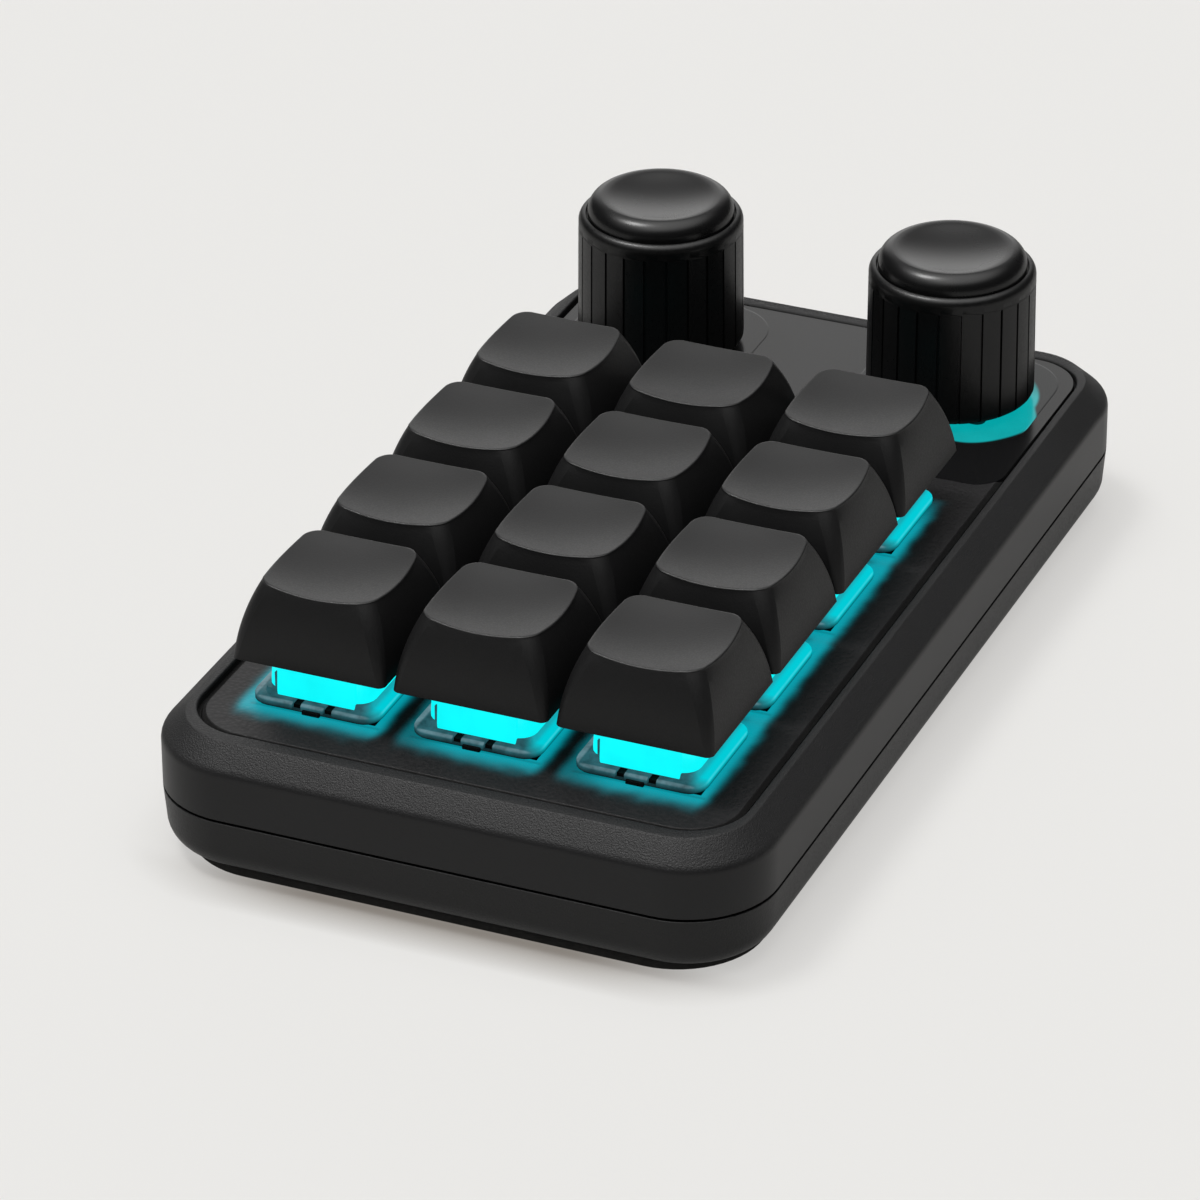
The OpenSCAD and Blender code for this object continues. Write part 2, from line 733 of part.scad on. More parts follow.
module knob_barrel(side) {
    inner_r = knob_r - knob_wall;
    roof_z = barrel_top_z - knob_roof_t;
    profile = concat(
        [[inner_r, knob_z]],
        arc(knob_r - knob_foot_r, knob_z + knob_foot_r, knob_foot_r, 270, 360, 4),
        arc(knob_r - knob_shoulder_r, barrel_top_z - knob_shoulder_r, knob_shoulder_r, 0, 90, 6),
        [[knob_seat_r, barrel_top_z], [knob_seat_r, barrel_top_z - knob_seat_depth]],
        [[0, barrel_top_z - knob_seat_depth], [0, hub_z], [hub_r, hub_z], [hub_r, roof_z]],
        [[inner_r, roof_z]]
    );
    color([0.1, 0.1, 0.105]) translate(knob_places[side]) difference() {
        rotate_extrude() polygon(profile);
        flat_rod(shaft_r + knob_grip, shaft_flat + knob_grip, hub_step_z, shaft_top_z + fit);
        rod(shaft_r + knob_grip, hub_z - 1, hub_step_z + fit);
        for (i = [0:groove_count - 1]) rotate([0, 0, groove_phase + 360 * i / groove_count])
            translate([knob_r - groove_cut, -groove_cut / 2, knob_z - 1])
                cube([2 * groove_cut, groove_cut, barrel_h + 1 - knob_shoulder_r - groove_top_gap]);
    }
}

module knob_cap(side) {
    foot_z = barrel_top_z - knob_seat_depth;
    top_z = barrel_top_z + knob_cap_h;
    rim_r = knob_cap_r - knob_cap_edge_r;
    dish_r = (rim_r * rim_r + knob_dish_depth * knob_dish_depth) / (2 * knob_dish_depth);
    profile = concat(
        [[0, foot_z], [knob_cap_r, foot_z]],
        arc(rim_r, top_z - knob_cap_edge_r, knob_cap_edge_r, 0, 90, 7),
        [for (i = [1:7]) let (r = rim_r * (1 - i / 8))
            [r, top_z - knob_dish_depth + dish_r - sqrt(dish_r * dish_r - r * r)]],
        [[0, top_z - knob_dish_depth]]
    );
    color([0.12, 0.12, 0.125]) translate(knob_places[side]) rotate_extrude() polygon(profile);
}

// ---- Parts ----

base_pad();
bottom_shell();
top_frame();
case_screws();
key_plate();
knob_panel();
circuit_board();
controller_chip();
usb_socket();
key_lights();
switch_sockets();
switch_bases();
switch_covers();
encoder_bodies();
for (k = [1:key_cols * key_rows]) {
    key_spring(k);
    key_stem(k);
    keycap(k);
}
for (side = [0, 1]) {
    name = side == 0 ? "left" : "right";
    knob_light(side);
    encoder_rotor(side);
    knob_shaft(side);
    knob_barrel(side);
    knob_cap(side);
}
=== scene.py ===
import json
import math

import bmesh
import bpy
from mathutils import Matrix, Vector


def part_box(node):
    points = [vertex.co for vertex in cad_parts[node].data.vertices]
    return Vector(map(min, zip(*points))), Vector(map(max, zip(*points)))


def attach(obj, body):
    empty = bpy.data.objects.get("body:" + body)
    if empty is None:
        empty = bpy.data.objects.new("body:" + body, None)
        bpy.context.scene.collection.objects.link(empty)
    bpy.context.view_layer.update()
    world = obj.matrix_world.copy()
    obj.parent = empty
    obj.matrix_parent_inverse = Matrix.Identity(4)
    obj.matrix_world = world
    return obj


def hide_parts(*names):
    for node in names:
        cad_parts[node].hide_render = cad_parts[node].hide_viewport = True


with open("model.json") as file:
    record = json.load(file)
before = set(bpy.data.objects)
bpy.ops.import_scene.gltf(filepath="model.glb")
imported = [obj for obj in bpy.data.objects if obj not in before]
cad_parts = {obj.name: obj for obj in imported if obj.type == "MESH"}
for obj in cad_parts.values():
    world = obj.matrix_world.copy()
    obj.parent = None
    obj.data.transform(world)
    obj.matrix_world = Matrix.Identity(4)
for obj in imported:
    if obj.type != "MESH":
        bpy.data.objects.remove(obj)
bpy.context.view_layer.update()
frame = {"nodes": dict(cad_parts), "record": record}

MM = 0.001            # one millimetre in the scene's metres
TAU = 2 * math.pi
CASE_R = 10.4         # the case's corner radius
CHAMFER_H = 2.5       # height of the case's sloping edge
KEY_COLUMNS = 3
KEY_ROWS = 4
KEY_NUMBERS = range(1, KEY_COLUMNS * KEY_ROWS + 1)
SIDES = ("left", "right")


# ---- Places, in millimetres, read from the frame ----

def node_box(node):
    """Lowest and highest corner of a node, in millimetres."""
    low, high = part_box(node)
    return low / MM, high / MM


def node_middle(node):
    low, high = node_box(node)
    return (low + high) / 2


key_places = [node_middle(f"key_stem_{k}").xy for k in KEY_NUMBERS]
key_pitch = key_places[1].x - key_places[0].x
case_low, case_high = node_box("top_frame")
plate_low, plate_high = node_box("key_plate")
plate_z = plate_high.z
knob_places = [node_middle(f"knob_barrel_{side}").xy for side in SIDES]


# ---- Mesh helpers ----

SAME_PLACE = 1e-5     # vertices nearer than this, in millimetres, are one


def place_order(verts):
    """Vertices of a ring in turning order, from just past the +X side."""
    middle = sum((v.co for v in verts), Vector()) / len(verts)

    def turn(v):
        return math.atan2(v.co.y - middle.y, v.co.x - middle.x) % TAU

    return sorted(verts, key=turn)


def set_ring(verts, ring):
    """Puts a ring's vertices on its points."""
    for vert, point in zip(verts, ring):
        vert.co = point


def loft(rings, closed=False):
    """A skin over a stack of rings: one ring of edges, extruded from level to level.

    An open stack is closed by a face at each end, and a closed one goes on to its first ring.
    """
    bm = bmesh.new()
    start = bmesh.ops.create_circle(bm, segments=len(rings[0]), radius=1)["verts"]
    verts = place_order(start)
    set_ring(verts, rings[0])
    edges = list(bm.edges)
    if not closed:
        bm.faces.new(verts)
    for ring in rings[1:] + ([rings[0]] if closed else []):
        grown = bmesh.ops.extrude_edge_only(bm, edges=edges)["geom"]
        new_verts = {g for g in grown if isinstance(g, bmesh.types.BMVert)}
        edges = [g for g in grown if isinstance(g, bmesh.types.BMEdge) and new_verts.issuperset(g.verts)]
        verts = [next(edge.other_vert(v) for edge in v.link_edges if edge.other_vert(v) in new_verts)
                 for v in verts]
        set_ring(verts, ring)
    if closed:
        bmesh.ops.remove_doubles(bm, verts=bm.verts, dist=SAME_PLACE)
    else:
        bm.faces.new(verts)
    bmesh.ops.recalc_face_normals(bm, faces=bm.faces)
    return bm


def round_outline(x0, y0, x1, y1, r, steps):
    """Rectangle with round corners, from the +X side's upper corner round."""
    points = []
    for quarter in range(4):
        cx = x1 - r if quarter in (0, 3) else x0 + r
        cy = y1 - r if quarter < 2 else y0 + r
        for i in range(steps + 1):
            a = TAU / 4 * (quarter + i / steps)
            points.append(Vector((cx + r * math.cos(a), cy + r * math.sin(a), 0)))
    return points


def at_height(points, z):
    """The points of an outline, all at one height."""
    return [Vector((p.x, p.y, z)) for p in points]


def arc(x, z, r, start, end, steps):
    """Points of an arc about (x, z), between two angles in degrees."""
    angles = [math.radians(start + (end - start) * i / steps) for i in range(steps + 1)]
    return [(x + r * math.cos(a), z + r * math.sin(a)) for a in angles]


def turned(profile, steps):
    """A profile of (radius, height) points, turned a whole circle about Z."""
    bm = bmesh.new()
    verts = [bm.verts.new((r, 0, z)) for r, z in profile]
    edges = [bm.edges.new(pair) for pair in zip(verts, verts[1:])]
    bmesh.ops.spin(bm, geom=verts + edges, cent=(0, 0, 0), axis=(0, 0, 1), angle=TAU, steps=steps,
                   use_merge=True)
    bmesh.ops.remove_doubles(bm, verts=bm.verts, dist=SAME_PLACE)
    bmesh.ops.recalc_face_normals(bm, faces=bm.faces)
    return bm


def box_shape(x0, y0, z0, x1, y1, z1, bevel=0.0):
    """A block between two corners, with round edges if a bevel is given."""
    bm = bmesh.new()
    place = Matrix.Translation(((x0 + x1) / 2, (y0 + y1) / 2, (z0 + z1) / 2))
    size = Matrix.Diagonal((x1 - x0, y1 - y0, z1 - z0, 1))
    bmesh.ops.create_cube(bm, size=1, matrix=place @ size)
    if bevel:
        bmesh.ops.bevel(bm, geom=list(bm.edges), offset=bevel, offset_type="OFFSET", affect="EDGES",
                        segments=2, profile=0.5, material=-1)
    return bm


def add_copy(target, source, offset):
    """Adds a copy of one bmesh to another, moved by an offset."""
    known = {v: target.verts.new(v.co + offset) for v in source.verts}
    for face in source.faces:
        target.faces.new([known[v] for v in face.verts])


def temporary_object(bm):
    """An object that holds a shape while a boolean works on it."""
    mesh = bpy.data.meshes.new("cut")
    bm.to_mesh(mesh)
    obj = bpy.data.objects.new("cut", mesh)
    bpy.context.scene.collection.objects.link(obj)
    return obj


def carved(bm, cutters):
    """The closed shape with each cutter shape taken out of it."""
    target = temporary_object(bm)
    tools = [temporary_object(cutter) for cutter in cutters]
    for tool in tools:
        cut = target.modifiers.new("cut", "BOOLEAN")
        cut.operation = "DIFFERENCE"
        cut.solver = "EXACT"
        cut.object = tool
    result = target.evaluated_get(bpy.context.evaluated_depsgraph_get()).to_mesh()
    new = bmesh.new()
    new.from_mesh(result)
    for obj in (target, *tools):
        mesh = obj.data
        bpy.data.objects.remove(obj)
        bpy.data.meshes.remove(mesh)
    for shape in (bm, *cutters):
        shape.free()
    return new


def moved(bm, place):
    """The shape, moved over a place on the plate."""
    bmesh.ops.translate(bm, verts=bm.verts, vec=(*place, 0))
    return bm


def piece(name, bm, body, slot, replaces=(), smooth_angle=35):
    """Makes a finished object of a bmesh in millimetres, on its body and with its slot's material."""
    for face in bm.faces:
        face.smooth = True
    bmesh.ops.scale(bm, verts=bm.verts, vec=(MM, MM, MM))
    mesh = bpy.data.meshes.new(name)
    bm.to_mesh(mesh)
    bm.free()
    mesh.set_sharp_from_angle(angle=math.radians(smooth_angle))
    mesh.materials.append(MATERIALS[slot])
    obj = bpy.data.objects.new(name, mesh)
    bpy.context.scene.collection.objects.link(obj)
    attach(obj, body)
    if replaces:
        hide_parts(*replaces)
    return obj


# ---- Material helpers ----

class Nodes:
    """A short way to add and join the nodes of one tree."""

    def __init__(self, tree):
        self.tree = tree

    def add(self, kind, **values):
        node = self.tree.nodes.new(kind)
        for name, value in values.items():
            setattr(node, name, value)
        return node

    def join(self, source, target):
        self.tree.links.new(source, target)

    def feed(self, value, socket):
        """Sets a socket to a number, or joins it to another node's output."""
        if isinstance(value, (int, float)):
            socket.default_value = value
        else:
            self.join(value, socket)

    def maths(self, operation, first, second=None):
        node = self.add("ShaderNodeMath", operation=operation)
        self.feed(first, node.inputs[0])
        if second is not None:
            self.feed(second, node.inputs[1])
        return node.outputs[0]

    def plus(self, first, second):
        return self.maths("ADD", first, second)

    def minus(self, first, second):
        return self.maths("SUBTRACT", first, second)

    def product(self, first, *others):
        for other in others:
            first = self.maths("MULTIPLY", first, other)
        return first

    def map_range(self, value, low, high, to_low=0.0, to_high=1.0, smooth=False):
        """A value moved from one range to another and held inside it."""
        node = self.add("ShaderNodeMapRange", clamp=True)
        if smooth:
            node.interpolation_type = "SMOOTHSTEP"
        self.join(value, node.inputs["Value"])
        for name, number in (("From Min", low), ("From Max", high), ("To Min", to_low), ("To Max", to_high)):
            self.feed(number, node.inputs[name])
        return node.outputs["Result"]


def group_tree(name, inputs, outputs):
    """An empty shader node group with named inputs and outputs."""
    tree = bpy.data.node_groups.new(name, "ShaderNodeTree")
    for label, kind, default in inputs:
        socket = tree.interface.new_socket(name=label, in_out="INPUT", socket_type=kind)
        if default is not None:
            socket.default_value = default
    for label, kind in outputs:
        tree.interface.new_socket(name=label, in_out="OUTPUT", socket_type=kind)
    nodes = Nodes(tree)
    return tree, nodes, nodes.add("NodeGroupInput"), nodes.add("NodeGroupOutput")


FLOAT = "NodeSocketFloat"
VECTOR = "NodeSocketVector"


def make_grain_group():
    """Etched mould grain: rounded pits of one size over a finer noise."""
    tree, n, given, out = group_tree(
        "mould_grain",
        [("Vector", VECTOR, None), ("Pit size", FLOAT, 0.0006), ("Fine share", FLOAT, 0.4)],
        [("Height", FLOAT), ("Roughness shift", FLOAT)],
    )
    scale = n.maths("DIVIDE", 1.0, given.outputs["Pit size"])
    pits = n.add("ShaderNodeTexVoronoi", feature="SMOOTH_F1")
    pits.inputs["Smoothness"].default_value = 0.6
    n.join(given.outputs["Vector"], pits.inputs["Vector"])
    n.join(scale, pits.inputs["Scale"])
    fine = n.add("ShaderNodeTexNoise")
    fine.inputs["Detail"].default_value = 3
    n.join(given.outputs["Vector"], fine.inputs["Vector"])
    n.join(n.product(scale, 2.1), fine.inputs["Scale"])
    fine_part = n.product(fine.outputs["Fac"], given.outputs["Fine share"])
    height = n.plus(pits.outputs["Distance"], fine_part)
    n.join(height, out.inputs["Height"])
    n.join(n.map_range(height, 0.3, 1.0, -0.05, 0.07), out.inputs["Roughness shift"])
    return tree


def make_handling_group():
    """Slow cloudy change of a surface: handling marks that only shift its sheen and tone."""
    tree, n, given, out = group_tree(
        "handling",
        [("Vector", VECTOR, None), ("Cloud size", FLOAT, 0.02), ("Amount", FLOAT, 0.1)],
        [("Tone", FLOAT), ("Roughness shift", FLOAT)],
    )
    cloud = n.add("ShaderNodeTexNoise")
    cloud.inputs["Detail"].default_value = 4
    cloud.inputs["Roughness"].default_value = 0.6
    n.join(given.outputs["Vector"], cloud.inputs["Vector"])
    n.join(n.maths("DIVIDE", 1.0, given.outputs["Cloud size"]), cloud.inputs["Scale"])
    centred = n.minus(cloud.outputs["Fac"], 0.5)
    shift = n.product(centred, given.outputs["Amount"])
    n.join(n.plus(shift, 1.0), out.inputs["Tone"])
    n.join(n.product(shift, -0.6), out.inputs["Roughness shift"])
    return tree


# The light round a key, in metres
GLOW_RIGHT = (0.0050, 0.0066)          # where a flange's lit right side begins, and is in full
GLOW_RIGHT_FRONT = (-0.0074, -0.0050)  # the same along it, from the front
GLOW_RIM_HIGHLIGHT = (0.0005, 0.0002)           # a flange's painted rim highlight, inwards from its side
GLOW_FOOT = 0.0003                     # width of the painted shadow line at a flange's foot
GLOW_LEFT = (-0.0065, 0.0)             # where the light in front dims towards the left
GLOW_FIRST_COLUMN = (-0.0160, -0.0120)
GLOW_WAVES = 330                       # scale of the light's uneven border


def make_glow_group():
    """How strongly the light spilling from under the keys falls on a point of the plate or a flange."""
    tree, n, given, out = group_tree(
        "key_glow",
        [("Vector", VECTOR, None), ("Pitch", FLOAT, 0.019), ("Front row", FLOAT, 0.0),
         ("Half width", FLOAT, 0.0075), ("Reach across", FLOAT, 0.0009), ("Reach along", FLOAT, 0.0018),
         ("Shift", FLOAT, 0.0)],
        [("Mask", FLOAT), ("Right side", FLOAT), ("Rim highlight", FLOAT)],
    )
    pitch, front_row, half = (given.outputs[name] for name in ("Pitch", "Front row", "Half width"))
    split = n.add("ShaderNodeSeparateXYZ")
    n.join(given.outputs["Vector"], split.inputs[0])
    x, y = split.outputs["X"], split.outputs["Y"]

    def from_nearest(coordinate, start, last):
        """Distance from the middle of the nearest key, along one axis."""
        steps = n.maths("DIVIDE", n.minus(coordinate, start), pitch)
        nearest = n.maths("MINIMUM", n.maths("MAXIMUM", n.maths("ROUND", steps), 0.0), float(last))
        return n.product(n.minus(steps, nearest), pitch)

    def beyond(offset):
        """Distance past the flange's side, and zero inside it."""
        return n.maths("MAXIMUM", n.minus(n.maths("ABSOLUTE", offset), half), 0.0)

    offset_x = from_nearest(x, n.product(pitch, -(KEY_COLUMNS - 1) / 2), KEY_COLUMNS - 1)
    offset_y = from_nearest(y, front_row, KEY_ROWS - 1)
    right = n.map_range(offset_x, *GLOW_RIGHT, smooth=True)
    n.join(n.product(right, n.map_range(offset_y, *GLOW_RIGHT_FRONT)), out.inputs["Right side"])
    # A painted highlight along a flange's rim, just inside its outermost line
    outermost = n.maths("MAXIMUM", n.maths("ABSOLUTE", offset_x), n.maths("ABSOLUTE", offset_y))
    rim_start, rim_end = (n.minus(half, inwards) for inwards in GLOW_RIM_HIGHLIGHT)
    n.join(n.map_range(outermost, rim_start, rim_end, smooth=True), out.inputs["Rim highlight"])

    # Painted shadow at the foot of a flange's front, and dimmer light in front of the left part of every key
    # but the first
    foot = n.map_range(n.minus(outermost, half), 0.0, GLOW_FOOT, 0.45, 1.0)
    in_front = n.map_range(n.plus(offset_y, half), -0.0004, 0.0004, 1.0, 0.0)
    foot = n.plus(n.product(foot, in_front), n.minus(1.0, in_front))
    leaning = n.minus(offset_x, n.product(offset_y, 0.25))
    left_dim = n.map_range(leaning, *GLOW_LEFT, 0.4, 1.0, smooth=True)
    first_column = n.map_range(x, *GLOW_FIRST_COLUMN, 1.0, 0.0)
    foot = n.product(foot, n.maths("MAXIMUM", left_dim, first_column))

    # Fading away from the flange, more slowly between the keys of a column, with a wavy border
    behind_front = n.maths("GREATER_THAN", y, n.minus(front_row, half))
    joined = n.minus(1.0, n.product(right, behind_front, 0.6))
    across = n.maths("DIVIDE", beyond(n.minus(offset_x, given.outputs["Shift"])),
                     given.outputs["Reach across"])
    along = n.maths("DIVIDE", n.product(beyond(offset_y), joined), given.outputs["Reach along"])
    waves = n.add("ShaderNodeTexNoise")
    waves.inputs["Scale"].default_value = GLOW_WAVES
    waves.inputs["Detail"].default_value = 1
    n.join(given.outputs["Vector"], waves.inputs["Vector"])
    uneven = n.plus(n.product(waves.outputs["Fac"], 1.2), 0.4)
    square = n.product(n.plus(n.product(across, across), n.product(along, along)), uneven)
    fade = n.maths("EXPONENT", n.product(n.maths("POWER", square, 1.3), -0.7))
    last_row = n.plus(front_row, n.product(pitch, float(KEY_ROWS - 1)))
    behind = n.map_range(y, last_row, n.plus(last_row, half), 1.0, 0.0)
    n.join(n.product(fade, foot, behind), out.inputs["Mask"])
    return tree


GRAIN = make_grain_group()
HANDLING = make_handling_group()
GLOW = make_glow_group()


class Finish:
    """One material: a Principled surface with object coordinates ready to use."""

    def __init__(self, name, colour, roughness, **sockets):
        self.material = bpy.data.materials.new(name)
        self.material.use_nodes = True
        self.material.diffuse_color = (*colour, 1)
        self.n = Nodes(self.material.node_tree)
        self.shader = self.material.node_tree.nodes["Principled BSDF"]
        self.colour = colour
        self.roughness = roughness
        self.shader.inputs["Base Color"].default_value = (*colour, 1)
        self.shader.inputs["Roughness"].default_value = roughness
        for label, value in sockets.items():
            self.shader.inputs[label.replace("_", " ")].default_value = value
        self.where = self.n.add("ShaderNodeTexCoord").outputs["Object"]

    def use_group(self, tree, **values):
        node = self.n.add("ShaderNodeGroup")
        node.node_tree = tree
        self.n.join(self.where, node.inputs["Vector"])
        for label, value in values.items():
            node.inputs[label.replace("_", " ")].default_value = value
        return node

    def grain(self, size, depth, strength, fine=0.4):
        """Adds an etched grain as a bump, and gives the roughness shift that goes with it."""
        node = self.use_group(GRAIN, Pit_size=size, Fine_share=fine)
        bump = self.n.add("ShaderNodeBump")
        bump.inputs["Strength"].default_value = strength
        bump.inputs["Distance"].default_value = depth
        self.n.join(node.outputs["Height"], bump.inputs["Height"])
        self.n.join(bump.outputs["Normal"], self.shader.inputs["Normal"])
        return node.outputs["Roughness shift"]

    def handled(self, size, amount, *more_shifts, shade=None):
        """Lets the surface's tone and roughness drift, with any further roughness shifts and shade."""
        node = self.use_group(HANDLING, Cloud_size=size, Amount=amount)
        tone = self.n.product(node.outputs["Tone"], shade) if shade else node.outputs["Tone"]
        self.n.join(self.scaled(self.colour, tone), self.shader.inputs["Base Color"])
        total = self.n.plus(node.outputs["Roughness shift"], self.roughness)
        for shift in more_shifts:
            total = self.n.plus(total, shift)
        self.n.join(total, self.shader.inputs["Roughness"])

    def coordinates(self):
        split = self.n.add("ShaderNodeSeparateXYZ")
        self.n.join(self.where, split.inputs[0])
        return split.outputs

    def scaled(self, colour, level):
        """A colour, fixed or from a node, times a level that changes over the surface."""
        node = self.n.add("ShaderNodeVectorMath", operation="SCALE")
        if isinstance(colour, tuple):
            node.inputs[0].default_value = colour
        else:
            self.n.join(colour, node.inputs[0])
        self.n.join(level, node.inputs["Scale"])
        return node.outputs[0]

    def emit(self, colour, level):
        self.n.join(self.scaled(colour, level), self.shader.inputs["Emission Color"])
        self.shader.inputs["Emission Strength"].default_value = 1.0

    def seen_share(self, share):
        """One for what the eye sees directly, and a smaller share for the light thrown elsewhere."""
        direct = self.n.add("ShaderNodeLightPath").outputs["Is Camera Ray"]
        return self.n.plus(self.n.product(direct, 1.0 - share), share)

    def key_glow(self):
        """The masks of the keys' light on this surface."""
        node = self.use_group(GLOW, Pitch=key_pitch * MM, Front_row=key_places[0].y * MM, **GLOW_SIZES)
        return node.outputs


CYAN = (0.004, 0.97, 1.0)                 # the lamps' light in the clear plastic
GLOW_CYAN = (0.001, 0.33, 0.40)           # the same light on the dark plate
GLOW_SIZES = dict(Half_width=0.0075, Reach_across=0.0009, Reach_along=0.0018, Shift=-0.0004)
FLANGE_GLOW = (0.022, 0.100, 0.120)       # light in the flanges: glow all over, a painted highlight on the rim, light on the right side
FLANGE_RIM_HIGHLIGHT = (0.075, 0.095, 0.105)
FLANGE_LIT_SIDE = (0.0, 0.60, 0.68)


def shell_finish():
    """Smooth moulded plastic of the lower case."""
    finish = Finish("case_smooth", (0.012, 0.012, 0.0123), 0.32, Specular_IOR_Level=0.45)
    shift = finish.grain(0.00025, 0.00012, 0.12)
    finish.handled(0.03, 0.16, shift)
    return finish.material


# Where the groove's outer wall gets painted shade and a rougher surface
GROOVE_WALL_INSET = (3.5, 3.4)     # the groove's outer wall lies farther in than this, in millimetres
GROOVE_WALL_DEPTH = (0.45, 0.30)   # and lower than this under the rim


def frame_finish():
    """Smooth side walls, an etched grain on the sloping edge, a rim polished at the back, painted shade in a
    rougher groove.
    """
    finish = Finish("case_grained", (0.013, 0.013, 0.0138), 0.32, Specular_IOR_Level=0.45)
    n = finish.n
    grain = finish.use_group(GRAIN, Pit_size=0.00019, Fine_share=0.9).outputs
    at = finish.coordinates()
    slope_z = (case_high.z - CHAMFER_H) * MM
    on_slope = n.map_range(at["Z"], slope_z - 0.0005, slope_z + 0.0003, smooth=True)
    on_rim = n.map_range(at["Z"], (case_high.z - 0.3) * MM, (case_high.z - 0.1) * MM)
    at_back = n.map_range(at["Y"], (plate_high.y - 3) * MM, (plate_high.y + 1) * MM, smooth=True)
    bump = n.add("ShaderNodeBump")
    bump.inputs["Distance"].default_value = 0.00006
    n.join(grain["Height"], bump.inputs["Height"])
    n.join(n.plus(n.product(on_slope, 0.6), 0.1), bump.inputs["Strength"])
    n.join(bump.outputs["Normal"], finish.shader.inputs["Normal"])
    # Distance from the round corners' middles, which is nothing along the straight sides' inner part
    past = []
    for axis, low, high in (("X", case_low.x, case_high.x), ("Y", case_low.y, case_high.y)):
        away = n.maths("ABSOLUTE", n.minus(at[axis], (low + high) / 2 * MM))
        past.append(n.maths("MAXIMUM", n.minus(away, ((high - low) / 2 - CASE_R) * MM), 0.0))
    from_corner = n.maths("SQRT", n.plus(*(n.maths("POWER", part, 2.0) for part in past)))
    far_in = n.map_range(from_corner, *((CASE_R - inset) * MM for inset in GROOVE_WALL_INSET), 1.0, 0.0)
    low_down = n.map_range(at["Z"], *((case_high.z - depth) * MM for depth in GROOVE_WALL_DEPTH), 1.0, 0.0)
    # Painted shade: the groove's outer wall is darkened and made rougher
    groove = n.product(far_in, low_down)
    rougher = n.plus(n.product(on_slope, 0.16), n.product(groove, 0.4))
    polished = n.product(on_rim, at_back, -0.26)
    finish.handled(0.03, 0.14, n.product(grain["Roughness shift"], on_slope), rougher, polished,
                   shade=n.minus(1.0, n.product(groove, 0.9)))
    return finish.material


def plate_finish():
    """Fine powder coat, with painted shade on the plate's edge in the groove, and the keys' light painted on
    it.
    """
    finish = Finish("plate_coat", (0.0125, 0.012, 0.0128), 0.46, Specular_IOR_Level=0.4)
    shift = finish.grain(0.0005, 0.0001, 0.35)
    n = finish.n
    # Painted shade: the plate's edge below its top is darkened and made rougher
    painted_shade_factor = n.map_range(finish.coordinates()["Z"], (plate_z - 0.12) * MM, (plate_z - 0.03) * MM, 0.1, 1.0)
    dulled = n.product(n.minus(1.0, painted_shade_factor), 0.5)
    finish.handled(0.02, 0.14, shift, dulled, shade=painted_shade_factor)
    finish.emit(GLOW_CYAN, n.product(finish.key_glow()["Mask"], finish.seen_share(0.05)))
    return finish.material


def keycap_finish():
    """Dark resin with a very fine grain."""
    finish = Finish("keycap_resin", (0.0078, 0.0078, 0.0082), 0.40, Specular_IOR_Level=0.5)
    shift = finish.grain(0.00022, 0.00003, 0.25, fine=0.8)
    finish.handled(0.012, 0.12, shift)
    return finish.material


def plain_finish(name, colour, roughness, size=0.02, amount=0.12, grain=None, **sockets):
    """A simple moulded or metal finish with slow drift, and a fine grain if one is given."""
    finish = Finish(name, colour, roughness, **sockets)
    shifts = [finish.grain(*grain)] if grain else []
    finish.handled(size, amount, *shifts)
    return finish.material


def lit_finish(name, strength, thrown):
    """Clear plastic that glows a little unevenly from inside and throws only a share of its light."""
    finish = Finish(name, (0.0, 0.12, 0.13), 0.25)
    cloud = finish.use_group(HANDLING, Cloud_size=0.004, Amount=0.35)
    finish.emit(CYAN, finish.n.product(finish.seen_share(thrown), strength, cloud.outputs["Tone"]))
    return finish.material


BULGE_TOWARDS = (0.766, -0.643)    # heading of the lit part's bulge, seen from the knob's axis
LIT_RADIUS = (0.0106, 0.0129)      # the lit part's radius, plain and at the bulge, in metres


def ring_light_finish():
    """Dark gloss that is lit round the knob's front, with a bulge in the lit part at the front right."""
    finish = Finish("light_lit", (0.007, 0.009, 0.0095), 0.2)
    n = finish.n
    cloud = finish.use_group(HANDLING, Cloud_size=0.004, Amount=0.3)
    at = finish.coordinates()
    x = n.minus(at["X"], knob_places[1].x * MM)
    y = n.minus(at["Y"], knob_places[1].y * MM)
    radius = n.maths("SQRT", n.plus(n.product(x, x), n.product(y, y)))
    towards = n.plus(n.product(x, BULGE_TOWARDS[0]), n.product(y, BULGE_TOWARDS[1]))
    share = n.maths("DIVIDE", towards, n.maths("MAXIMUM", radius, 0.001))
    reach = n.map_range(share, 0.72, 1.0, *LIT_RADIUS, smooth=True)
    inside = n.map_range(n.minus(radius, reach), -0.0003, 0.0002, 1.0, 0.0, smooth=True)
    in_front = n.map_range(y, 0.003, 0.008, 1.0, 0.0)
    level = n.product(inside, in_front, 0.38, cloud.outputs["Tone"], finish.seen_share(0.1))
    finish.emit(CYAN, level)
    return finish.material


